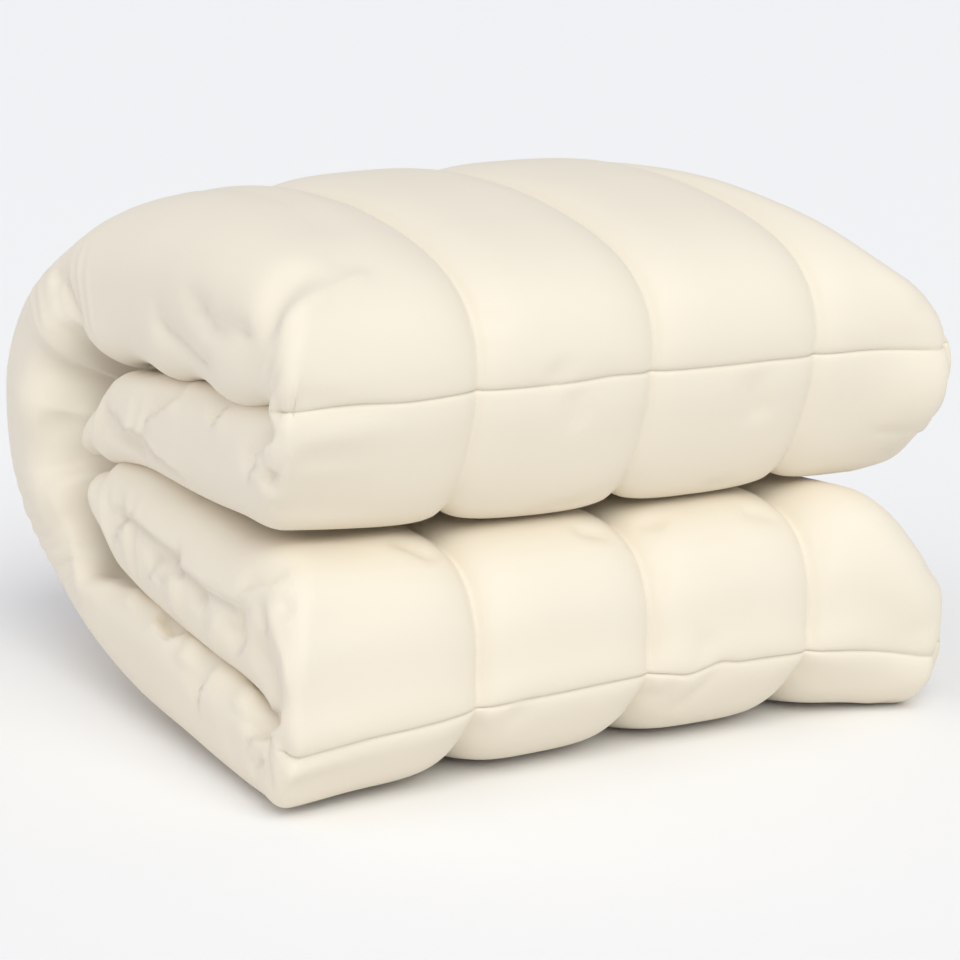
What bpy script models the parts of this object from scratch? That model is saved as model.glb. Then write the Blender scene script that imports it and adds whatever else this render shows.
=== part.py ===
"""Weighted blanket, channel-quilted, folded into a bundle: one filled solid.

The blanket is folded in half along its length, so that it is a double layer
with a round fold on the left and its two side hems on the right.  Both ends
of the double layer are then folded in, and the whole is folded in half.  The
section across the bundle (the YZ plane) is therefore one ribbon that runs

    end A -> forward -> upper front fold -> top -> round back -> underside
    -> lower front fold -> back -> end B

SECTION holds that ribbon, one row for each place along it.  Every row is a
straight line from the ribbon's inner face to its outer face, and the outline
of the double layer across the width (the profile) is laid on that line.

Units are metres, +Z is up, +X runs along the front folds and the front is
at -Y.  The origin is the middle of the underside of the bounding box.
"""
import math

import bmesh
import bpy
import numpy as np
from mathutils.geometry import tessellate_polygon

# Driving dimensions
WIDTH = 0.600                 # along the front folds
CHANNELS = 4                  # quilted channels across the folded width
CHANNEL = WIDTH / CHANNELS
LEFT = -WIDTH / 2             # round lengthwise fold
RIGHT = WIDTH / 2             # side hems
DEPTH_SHIFT = -0.2905         # puts the middle of the depth at y = 0
INNER_ROUND = 0.40            # left edge's reach on the inner face, in ribbon thicknesses
OUTER_POWER = 2.3             # 2 makes the left edge an ellipse, more makes it blunter
INNER_POWER = 3.0
EDGE_LEAN = 0.6               # how far the left edge's tip leans to its tighter side
HEM_THICKNESS = 0.007
HEM_LIP = 0.006               # width of the flat lip of a side hem
HEM_REACH = 0.030             # hem's taper: this and a share of the height it drops
HEM_SPREAD = 1.0
SLOPE_POWER = 1.6             # run of a high slope down to the hem; a low one is round
HIGH_SLOPE = 0.085
DROOP_REACH = 0.150           # how far in from the side hems the droop starts
DIP_POWER = 4.0               # higher makes the valleys between channels narrower
RESTING_Z = 0.0               # the underside is pressed flat at this height
STEPS_PER_ROW = 2             # stations along the ribbon between two rows

# One row for each place along the ribbon.
# in_y, in_z / out_y, out_z: the ribbon's inner and outer face, mid-width
# round: reach along X of the left edge, on the outer face
# hem:   height of the side hems in the ribbon, from -1 (inner) to 1 (outer)
# dip:   depth of the valleys at the channel seams, on the outer face
# arch:  how much higher the outer face is at mid-width than at the sides
# lift:  how much higher the outer face is at the left edge
# droop: how much lower the outer face is at the side hems
# part:  half the gap between the two plies
# depth: how far that gap reaches in from the side hems
COLUMNS = ("in_y", "in_z", "out_y", "out_z", "round", "hem", "dip", "arch", "lift", "droop",
           "part", "depth")
SECTION = (
    ("a_end", 0.348, 0.2460, 0.396, 0.194, 0.020, 0.1, 0.003, 0.0, 0.0, 0.0, 0.024, 0.530),
    ("a_taper", 0.318, 0.2640, 0.346, 0.203, 0.028, 0.2, 0.004, 0.0, 0.0, 0.0, 0.006, 0.400),
    ("a_back", 0.268, 0.2830, 0.282, 0.209, 0.034, 0.4, 0.006, 0.0, 0.0, 0.0, 0.002, 0.070),
    ("a_mid", 0.195, 0.2955, 0.195, 0.206, 0.036, 0.4, 0.007, 0.0, 0.0, 0.0, 0.002, 0.060),
    ("a_front", 0.120, 0.3005, 0.112, 0.202, 0.036, 0.4, 0.008, 0.0, 0.0, 0.0, 0.002, 0.060),
    ("a_nose", 0.070, 0.3020, 0.052, 0.203, 0.032, 0.4, 0.010, 0.0, 0.0, 0.0, 0.002, 0.055),
    ("u_low", 0.044, 0.3028, 0.016, 0.224, 0.024, 0.5, 0.011, 0.0, 0.0, 0.0, 0.0015, 0.045),
    ("u_under", 0.034, 0.3036, 0.001, 0.263, 0.016, 0.3, 0.009, 0.0, 0.0, 0.0, 0.0015, 0.035),
    ("u_seam", 0.031, 0.3045, 0.002, 0.305, 0.012, 0.0, 0.005, 0.0, 0.0, 0.004, 0.0015, 0.030),
    ("u_over", 0.034, 0.3054, -0.001, 0.343, 0.018, -0.3, 0.009, 0.0, 0.0, 0.022, 0.0015, 0.035),
    ("u_high", 0.044, 0.3062, 0.015, 0.373, 0.034, -0.6, 0.011, 0.0, 0.0, 0.032, 0.0015, 0.045),
    ("t_nose", 0.070, 0.3065, 0.048, 0.396, 0.056, -0.75, 0.010, 0.0, 0.0, 0.028, 0.002, 0.055),
    ("t_front", 0.120, 0.3050, 0.106, 0.414, 0.076, -0.8, 0.009, 0.0, 0.0, 0.018, 0.002, 0.060),
    ("t_mid", 0.200, 0.3005, 0.192, 0.428, 0.088, -0.75, 0.009, 0.0, -0.004, 0.012, 0.002, 0.060),
    ("t_back", 0.285, 0.2930, 0.298, 0.430, 0.088, -0.7, 0.009, 0.0, -0.010, 0.012, 0.002, 0.060),
    ("c_crown", 0.345, 0.2970, 0.395, 0.415, 0.086, -0.6, 0.009, 0.0, -0.014, 0.010, 0.002, 0.060),
    ("c_high", 0.402, 0.3050, 0.480, 0.376, 0.078, -0.4, 0.009, 0.0, -0.012, 0.006, 0.002, 0.060),
    ("c_upper", 0.442, 0.2860, 0.543, 0.320, 0.062, -0.2, 0.009, 0.0, -0.006, 0.0, 0.002, 0.060),
    ("c_back", 0.458, 0.2480, 0.576, 0.260, 0.050, -0.1, 0.009, 0.0, 0.0, 0.0, 0.002, 0.060),
    ("c_mid", 0.460, 0.2100, 0.584, 0.204, 0.046, 0.0, 0.009, 0.0, 0.004, 0.0, 0.002, 0.060),
    ("c_low", 0.452, 0.1720, 0.572, 0.146, 0.046, 0.1, 0.009, 0.0, 0.012, 0.0, 0.002, 0.060),
    ("c_under", 0.428, 0.1400, 0.534, 0.092, 0.044, 0.3, 0.009, 0.0, 0.022, 0.0, 0.002, 0.060),
    ("c_heel", 0.388, 0.1180, 0.470, 0.046, 0.040, 0.4, 0.009, 0.0, 0.030, 0.0, 0.002, 0.060),
    ("g_back", 0.340, 0.1040, 0.395, 0.012, 0.036, 0.5, 0.009, 0.0, 0.032, 0.0, 0.002, 0.060),
    ("g_rear", 0.280, 0.0970, 0.302, -0.004, 0.034, 0.6, 0.008, 0.0, 0.026, 0.0, 0.002, 0.060),
    ("g_mid", 0.205, 0.0910, 0.204, -0.005, 0.032, 0.6, 0.008, 0.0, 0.018, 0.0, 0.002, 0.060),
    ("g_front", 0.125, 0.0810, 0.115, -0.004, 0.030, 0.6, 0.010, 0.0, 0.010, 0.0, 0.002, 0.060),
    ("g_nose", 0.072, 0.0725, 0.055, 0.001, 0.026, 0.6, 0.013, 0.006, 0.004, 0.0, 0.002, 0.055),
    ("l_low", 0.046, 0.0668, 0.018, 0.017, 0.018, 0.5, 0.015, 0.011, 0.0, 0.0, 0.0015, 0.045),
    ("l_under", 0.035, 0.0645, 0.003, 0.038, 0.012, 0.3, 0.012, 0.014, 0.0, 0.0, 0.0015, 0.035),
    ("l_seam", 0.031, 0.0645, 0.002, 0.062, 0.012, 0.1, 0.006, 0.014, 0.0, 0.0, 0.0015, 0.030),
    ("l_over", 0.034, 0.0675, -0.003, 0.096, 0.014, -0.1, 0.012, 0.010, 0.0, 0.0, 0.0015, 0.035),
    ("l_rise", 0.046, 0.0725, 0.000, 0.135, 0.022, -0.3, 0.014, 0.005, 0.0, 0.0, 0.0015, 0.045),
    ("l_high", 0.068, 0.0785, 0.021, 0.170, 0.034, -0.5, 0.012, 0.002, 0.0, 0.0, 0.002, 0.055),
    ("b_nose", 0.102, 0.0840, 0.062, 0.190, 0.046, -0.6, 0.009, 0.0, 0.0, 0.0, 0.002, 0.060),
    ("b_front", 0.150, 0.0890, 0.128, 0.197, 0.052, -0.6, 0.007, 0.0, 0.0, 0.0, 0.002, 0.060),
    ("b_mid", 0.212, 0.0955, 0.205, 0.201, 0.052, -0.5, 0.006, 0.0, 0.0, 0.0, 0.002, 0.060),
    ("b_back", 0.276, 0.1035, 0.282, 0.204, 0.044, -0.3, 0.005, 0.0, 0.0, 0.0, 0.002, 0.070),
    ("b_taper", 0.320, 0.1180, 0.338, 0.198, 0.034, -0.1, 0.004, 0.0, 0.0, 0.0, 0.006, 0.400),
    ("b_end", 0.352, 0.1440, 0.382, 0.187, 0.020, 0.0, 0.003, 0.0, 0.0, 0.0, 0.015, 0.530),
)

# Places of the profile's points across one channel, from seam to seam
CHANNEL_PLACES = (0.14, 0.50, 0.86, 1.0)
FIRST_PLACES = (0.70, 0.88, 1.0)
LAST_PLACES = (0.14, 0.50, 0.78, 0.93)
EDGE_ANGLES = (30.0, 60.0, 90.0)
GAP_PLACES = (0.35, 0.80)     # points on each wall of the gap between the plies

COTTON_COLOUR = (0.83, 0.77, 0.66, 1.0)
COTTON_ROUGHNESS = 0.75


def clear_scene():
    """Remove the objects that the file starts with."""
    for thing in list(bpy.data.objects):
        bpy.data.objects.remove(thing, do_unlink=True)


def cotton_material():
    """Smooth undyed cotton."""
    material = bpy.data.materials.new("natural_cotton")
    material.use_nodes = True
    shader = material.node_tree.nodes["Principled BSDF"]
    shader.inputs["Base Color"].default_value = COTTON_COLOUR
    shader.inputs["Roughness"].default_value = COTTON_ROUGHNESS
    shader.inputs["Metallic"].default_value = 0.0
    return material


def ribbon_stations():
    """Rows of SECTION joined by a smooth curve, as one dictionary for each station.

    Between two rows the values follow a cubic whose slope at each row is that
    of the line through its two neighbours.
    """
    rows = np.array([row[1:] for row in SECTION])
    slopes = np.empty_like(rows)
    slopes[1:-1] = (rows[2:] - rows[:-2]) / 2
    slopes[0] = rows[1] - rows[0]
    slopes[-1] = rows[-1] - rows[-2]
    stations = []
    for index in range(len(rows) - 1):
        for step in range(STEPS_PER_ROW):
            t = step / STEPS_PER_ROW
            values = ((2 * t**3 - 3 * t**2 + 1) * rows[index]
                      + (t**3 - 2 * t**2 + t) * slopes[index]
                      + (3 * t**2 - 2 * t**3) * rows[index + 1]
                      + (t**3 - t**2) * slopes[index + 1])
            stations.append(dict(zip(COLUMNS, values)))
    stations.append(dict(zip(COLUMNS, rows[-1])))
    return stations


def valley(x):
    """Share of the seam valley's depth at x: 1 on a channel seam, 0 at mid-channel."""
    if x < LEFT + CHANNEL / 2 or x > RIGHT - CHANNEL / 2:
        return 0.0
    across = (x - LEFT) / CHANNEL
    from_middle = abs(across - math.floor(across) - 0.5) * 2
    return from_middle ** DIP_POWER


def hem_drop(x, height):
    """Share of the way down to the side hem at x.

    A high slope runs as a power of the distance, a low one as a quarter ellipse.
    """
    reach = HEM_REACH + HEM_SPREAD * height
    inside = min(max((x - (RIGHT - reach)) / reach, 0.0), 1.0)
    sloping = min(height / HIGH_SLOPE, 1.0)
    return sloping * inside ** SLOPE_POWER + (1 - sloping) * (1 - math.sqrt(1 - inside**2))


def face_places():
    """Places in X of one face's points, from the end of the left edge to the hem's lip."""
    places = [LEFT + CHANNEL * place for place in FIRST_PLACES]
    for channel in range(1, CHANNELS - 1):
        places += [LEFT + CHANNEL * (channel + place) for place in CHANNEL_PLACES]
    places += [LEFT + CHANNEL * (CHANNELS - 1 + place) for place in LAST_PLACES]
    return places


def edge_points(station, half, side):
    """Points (x, height) of the left edge on one side of its tip, and the tip's height."""
    inner_reach = INNER_ROUND * 2 * half
    outer_reach = station["round"]
    tip = EDGE_LEAN * half * (inner_reach - outer_reach) / (inner_reach + outer_reach)
    reach, power = (outer_reach, OUTER_POWER) if side > 0 else (inner_reach, INNER_POWER)
    points = []
    for angle in EDGE_ANGLES:
        turn = math.radians(angle)
        inwards = reach * (1 - max(0.0, math.cos(turn)) ** (2 / power))
        height = tip + (side * half - tip) * math.sin(turn) ** (2 / power)
        points.append((LEFT + inwards, height))
    return points, tip


def face_points(station, half, side):
    """Points (x, height) of the outer face (side 1) or inner face (side -1)."""
    lip = station["hem"] * half + side * (station["part"] + HEM_THICKNESS)
    dip = station["dip"] if side > 0 else station["dip"] / 2
    points = []
    for x in face_places():
        full = side * (half - dip * valley(x))
        drop = hem_drop(x, abs(full - lip))
        points.append((x, full + (lip - full) * drop))
    points.append((RIGHT - HEM_LIP / 2, lip))
    return points


def gap_points(station, half, side):
    """Points of one wall of the gap between the plies, from the hem inwards."""
    hem = station["hem"] * half
    points = [(RIGHT, hem + side * (station["part"] + HEM_THICKNESS / 2))]
    points.append((RIGHT - HEM_LIP / 2, hem + side * station["part"]))
    for place in GAP_PLACES:
        height = hem * (1 - place) + side * station["part"] * (1 - place / 2)
        points.append((RIGHT - station["depth"] * place, height))
    return points


def profile(station, half):
    """The double layer's outline across the width, as a closed loop of (x, height)."""
    outer_edge, tip = edge_points(station, half, 1)
    inner_edge, _ = edge_points(station, half, -1)
    outer = outer_edge + face_points(station, half, 1) + gap_points(station, half, 1)
    inner = inner_edge + face_points(station, half, -1) + gap_points(station, half, -1)
    return [(LEFT, tip)] + outer + [(RIGHT - station["depth"], 0.0)] + inner[::-1]


def place_on_ribbon(station, outline):
    """Turn the outline's (x, height) into points of the bundle."""
    inner = np.array((station["in_y"], station["in_z"]))
    outer = np.array((station["out_y"], station["out_z"]))
    half = np.linalg.norm(outer - inner) / 2
    direction = (outer - inner) / (2 * half)
    middle = (inner + outer) / 2
    points = []
    for x, height in outline:
        y, z = middle + direction * height
        share = (height / half + 1) / 2
        z += share * station["arch"] * (1 - (2 * x / WIDTH) ** 2)
        z += share * station["lift"] * max(0.0, -2 * x / WIDTH) ** 2
        z -= share * station["droop"] * max(0.0, 1 - (RIGHT - x) / DROOP_REACH) ** 2
        points.append((x, y + DEPTH_SHIFT, max(z, RESTING_Z)))
    return points


def close_end(shape, loop, outline):
    """Close one end of the ribbon with triangles that leave the gap between the plies open."""
    flat = [(x, height, 0.0) for x, height in outline]
    for corners in tessellate_polygon([flat]):
        shape.faces.new([loop[corner] for corner in corners])


def blanket_mesh():
    """Loft the profile along the ribbon and close both ends."""
    shape = bmesh.new()
    loops = []
    outlines = []
    for station in ribbon_stations():
        span = (station["out_y"] - station["in_y"], station["out_z"] - station["in_z"])
        outline = profile(station, math.hypot(*span) / 2)
        loops.append([shape.verts.new(point) for point in place_on_ribbon(station, outline)])
        outlines.append(outline)
    count = len(loops[0])
    for here, there in zip(loops, loops[1:]):
        for column in range(count):
            following = (column + 1) % count
            shape.faces.new((here[column], here[following], there[following], there[column]))
    close_end(shape, loops[0], outlines[0])
    close_end(shape, loops[-1], outlines[-1])
    bmesh.ops.triangulate(shape, faces=shape.faces[:])
    bmesh.ops.recalc_face_normals(shape, faces=shape.faces[:])
    mesh = bpy.data.meshes.new("weighted_blanket")
    shape.to_mesh(mesh)
    shape.free()
    mesh.shade_smooth()
    return mesh


def build():
    """Make the blanket in its own collection."""
    clear_scene()
    collection = bpy.data.collections.new("folded_weighted_blanket")
    bpy.context.scene.collection.children.link(collection)
    blanket = bpy.data.objects.new("weighted_blanket", blanket_mesh())
    blanket.data.materials.append(cotton_material())
    collection.objects.link(blanket)


build()
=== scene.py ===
"""Folded weighted blanket in undyed cotton sateen, quilted in channels: the dressed scene.

The blanket is one padded piece.  It is folded in half along its length, so it is a double
layer (a ribbon) with a round fold at the left (-X) and its side hems at the right (+X).
Both ends of the ribbon are folded in and the whole is folded in half, so the ribbon runs

    end A -> forward -> upper front fold -> top -> round back -> underside
    -> lower front fold -> back -> end B

Every surface point is worked out from two parameters: its place along that ribbon (a row of
SECTION, with fractions between rows) and its place across the width.  Units are metres.
"""
import logging
import math
from dataclasses import dataclass, field
from enum import Enum
from typing import Callable

import bpy
import numpy as np
from mathutils import Matrix, Vector
from mathutils.geometry import tessellate_polygon


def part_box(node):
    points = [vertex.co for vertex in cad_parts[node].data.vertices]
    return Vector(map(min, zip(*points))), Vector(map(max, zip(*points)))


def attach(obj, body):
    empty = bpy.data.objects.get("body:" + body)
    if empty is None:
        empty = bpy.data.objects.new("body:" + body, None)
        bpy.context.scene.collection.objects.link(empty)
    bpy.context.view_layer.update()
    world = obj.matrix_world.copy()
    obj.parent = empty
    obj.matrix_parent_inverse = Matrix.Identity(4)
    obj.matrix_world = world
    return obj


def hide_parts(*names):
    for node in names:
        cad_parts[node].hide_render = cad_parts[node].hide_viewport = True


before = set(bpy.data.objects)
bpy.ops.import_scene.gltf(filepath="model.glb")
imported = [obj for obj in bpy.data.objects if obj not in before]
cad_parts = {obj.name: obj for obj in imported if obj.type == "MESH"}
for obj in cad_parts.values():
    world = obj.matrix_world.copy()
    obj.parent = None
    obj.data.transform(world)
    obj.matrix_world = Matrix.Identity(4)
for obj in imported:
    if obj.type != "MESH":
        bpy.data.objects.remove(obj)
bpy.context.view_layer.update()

LOG = logging.getLogger("weighted_blanket")
Array = np.ndarray

# ------------------------------------------------------------------ sizes from the frame
NODE = "weighted_blanket"
LOW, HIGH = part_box(NODE)
LEFT, RIGHT = LOW.x, HIGH.x           # round lengthwise fold, side hems
WIDTH = RIGHT - LEFT
CHANNELS = 4                          # quilted channels across the folded width
CHANNEL = WIDTH / CHANNELS
SEAM_SHIFT = 0.008                    # the channel seams stand this much nearer the side hems
SEAM_LINES = tuple(CHANNEL * number + SEAM_SHIFT for number in range(1, CHANNELS))
DEPTH_SHIFT = -0.2905                 # the section's y = 0 is the front of the front folds
RESTING_Z = LOW.z


@dataclass(frozen=True)
class FoldRow:
    """One place along the ribbon: a straight line from its inner to its outer face.

    in_y, in_z, out_y, out_z: the two faces at mid-width, before DEPTH_SHIFT.
    round: reach along X of the left edge on the outer face.
    hem: height of the side hems in the ribbon, from -1 (inner) to 1 (outer).
    dip: depth of the valleys at the channel seams on the outer face.
    arch, lift, droop: how much higher the outer face is at mid-width, how much higher it
    is at the left edge, and how much lower it is at the side hems.
    part: half the gap between the two plies at the side hems.
    depth: how far that gap reaches in from the hems.
    """

    name: str
    in_y: float
    in_z: float
    out_y: float
    out_z: float
    round: float
    hem: float
    dip: float
    arch: float
    lift: float
    droop: float
    part: float = 0.002
    depth: float = 0.060


SECTION = tuple(FoldRow(*row) for row in (
    ("a_end", 0.348, 0.2600, 0.396, 0.194, 0.020, 0.1, 0.003, 0.0, 0.0, 0.0, 0.024, 0.530),
    ("a_taper", 0.318, 0.2800, 0.346, 0.203, 0.028, 0.2, 0.004, 0.0, 0.0, 0.0, 0.006, 0.400),
    ("a_back", 0.268, 0.2885, 0.282, 0.209, 0.034, 0.4, 0.006, 0.0, 0.0, 0.0, 0.002, 0.070),
    ("a_mid", 0.195, 0.2955, 0.195, 0.206, 0.036, 0.4, 0.007, 0.0, 0.0, 0.0),
    ("a_front", 0.120, 0.3005, 0.112, 0.198, 0.036, 0.4, 0.008, 0.0, 0.010, 0.0),
    ("a_nose", 0.070, 0.3020, 0.064, 0.195, 0.032, 0.4, 0.005, 0.0, 0.017, 0.0, 0.002, 0.055),
    ("u_low", 0.044, 0.3028, 0.040, 0.214, 0.024, 0.5, 0.006, 0.0, 0.018, 0.0, 0.0015, 0.045),
    ("u_under", 0.034, 0.3036, 0.017, 0.256, 0.016, 0.3, 0.006, 0.0, 0.010, 0.0, 0.0015, 0.035),
    ("u_seam", 0.031, 0.3045, 0.000, 0.305, 0.012, 0.0, 0.005, 0.0, 0.0, 0.004, 0.0015, 0.030),
    ("u_over", 0.034, 0.3054, 0.000, 0.343, 0.018, -0.3, 0.009, 0.0, 0.0, 0.022, 0.0015, 0.035),
    ("u_high", 0.044, 0.3062, 0.015, 0.373, 0.034, -0.6, 0.011, 0.0, 0.0, 0.032, 0.0015, 0.045),
    ("t_nose", 0.070, 0.3065, 0.048, 0.396, 0.056, -0.75, 0.010, 0.0, 0.0, 0.028, 0.002, 0.055),
    ("t_front", 0.120, 0.3050, 0.106, 0.414, 0.076, -0.8, 0.009, 0.0, 0.0, 0.021),
    ("t_mid", 0.200, 0.3005, 0.192, 0.428, 0.088, -0.75, 0.009, 0.0, -0.006, 0.015),
    ("t_back", 0.285, 0.2930, 0.298, 0.430, 0.088, -0.7, 0.009, 0.0, -0.014, 0.015),
    ("c_crown", 0.345, 0.2970, 0.395, 0.415, 0.086, -0.6, 0.009, 0.0, -0.019, 0.012),
    ("c_high", 0.402, 0.3050, 0.480, 0.376, 0.078, -0.4, 0.009, 0.0, -0.017, 0.006),
    ("c_upper", 0.442, 0.2860, 0.543, 0.320, 0.062, -0.2, 0.009, 0.0, -0.008, 0.0),
    ("c_back", 0.458, 0.2480, 0.581, 0.260, 0.050, -0.1, 0.009, 0.0, 0.0, 0.0),
    ("c_mid", 0.460, 0.2100, 0.591, 0.204, 0.046, 0.0, 0.009, 0.0, 0.004, 0.0),
    ("c_low", 0.452, 0.1720, 0.580, 0.146, 0.046, 0.1, 0.009, 0.0, 0.012, 0.0),
    ("c_under", 0.428, 0.1400, 0.539, 0.092, 0.044, 0.3, 0.009, 0.0, 0.022, 0.0),
    ("c_heel", 0.388, 0.1180, 0.470, 0.046, 0.040, 0.4, 0.009, 0.0, 0.030, 0.0),
    ("g_back", 0.340, 0.1040, 0.395, 0.012, 0.036, 0.5, 0.009, 0.0, 0.032, 0.0),
    ("g_rear", 0.280, 0.0970, 0.302, -0.004, 0.034, 0.6, 0.008, 0.0, 0.026, 0.0),
    ("g_mid", 0.205, 0.0910, 0.204, -0.005, 0.032, 0.6, 0.008, 0.0, 0.018, 0.0),
    ("g_front", 0.125, 0.0810, 0.115, -0.004, 0.030, 0.6, 0.010, 0.0, 0.010, 0.0),
    ("g_nose", 0.072, 0.0725, 0.062, 0.001, 0.026, 0.6, 0.013, 0.006, 0.004, 0.003, 0.002, 0.055),
    ("l_low", 0.046, 0.0668, 0.036, 0.010, 0.018, 0.5, 0.015, 0.011, 0.0, 0.009, 0.0015, 0.045),
    ("l_under", 0.035, 0.0645, 0.016, 0.030, 0.012, 0.3, 0.012, 0.014, 0.0, 0.009, 0.0015, 0.035),
    ("l_seam", 0.031, 0.0645, 0.000, 0.052, 0.012, 0.1, 0.006, 0.019, 0.0, 0.006, 0.0015, 0.030),
    ("l_over", 0.034, 0.0675, -0.002, 0.090, 0.014, -0.1, 0.012, 0.012, 0.0, 0.005, 0.0015, 0.035),
    ("l_rise", 0.046, 0.0725, 0.000, 0.136, 0.022, -0.3, 0.014, 0.005, 0.005, 0.0, 0.0015, 0.045),
    ("l_high", 0.068, 0.0785, 0.021, 0.171, 0.034, -0.5, 0.012, 0.002, 0.008, 0.0, 0.002, 0.055),
    ("b_nose", 0.102, 0.0840, 0.062, 0.187, 0.046, -0.6, 0.009, 0.0, 0.008, 0.0),
    ("b_front", 0.150, 0.0890, 0.128, 0.190, 0.052, -0.6, 0.007, 0.0, 0.006, 0.0),
    ("b_mid", 0.212, 0.0955, 0.205, 0.197, 0.052, -0.5, 0.006, 0.0, 0.008, 0.0),
    ("b_back", 0.276, 0.1035, 0.282, 0.204, 0.044, -0.3, 0.005, 0.0, 0.010, 0.0, 0.002, 0.070),
    ("b_taper", 0.320, 0.1180, 0.338, 0.198, 0.034, -0.1, 0.004, 0.0, 0.012, 0.0, 0.006, 0.400),
    ("b_end", 0.352, 0.1440, 0.382, 0.187, 0.020, 0.0, 0.003, 0.0, 0.010, 0.0, 0.015, 0.530),
))
ROW_NUMBER = {row.name: number for number, row in enumerate(SECTION)}
CROSS_SEAMS = ("u_seam", "l_seam")    # the rows with a line of stitching across the width
FAR = 9.0                             # a distance beyond every reach


def row_place(name: str, beyond: float = 0.0) -> float:
    """Place along the ribbon of a row of SECTION, or a fraction of a row beyond it."""
    return ROW_NUMBER[name] + beyond


def in_channels(x: Array) -> Array:
    """Place across the width in channels: a whole number at each channel seam."""
    return (x - LEFT - SEAM_SHIFT) / CHANNEL


def seam_distance(x: Array) -> Array:
    """Distance along X to the nearest channel seam."""
    across = in_channels(x)
    return np.abs(across - np.clip(np.round(across), 1, CHANNELS - 1)) * CHANNEL


def smoothstep(value: Array, low: float, high: float) -> Array:
    """0 below low, 1 above high, and 3t^2 - 2t^3 between them."""
    t = np.clip((value - low) / (high - low), 0.0, 1.0)
    return t * t * (3 - 2 * t)


class Side(Enum):
    """The two faces of the ribbon."""

    OUTER = 1
    INNER = -1


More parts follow.
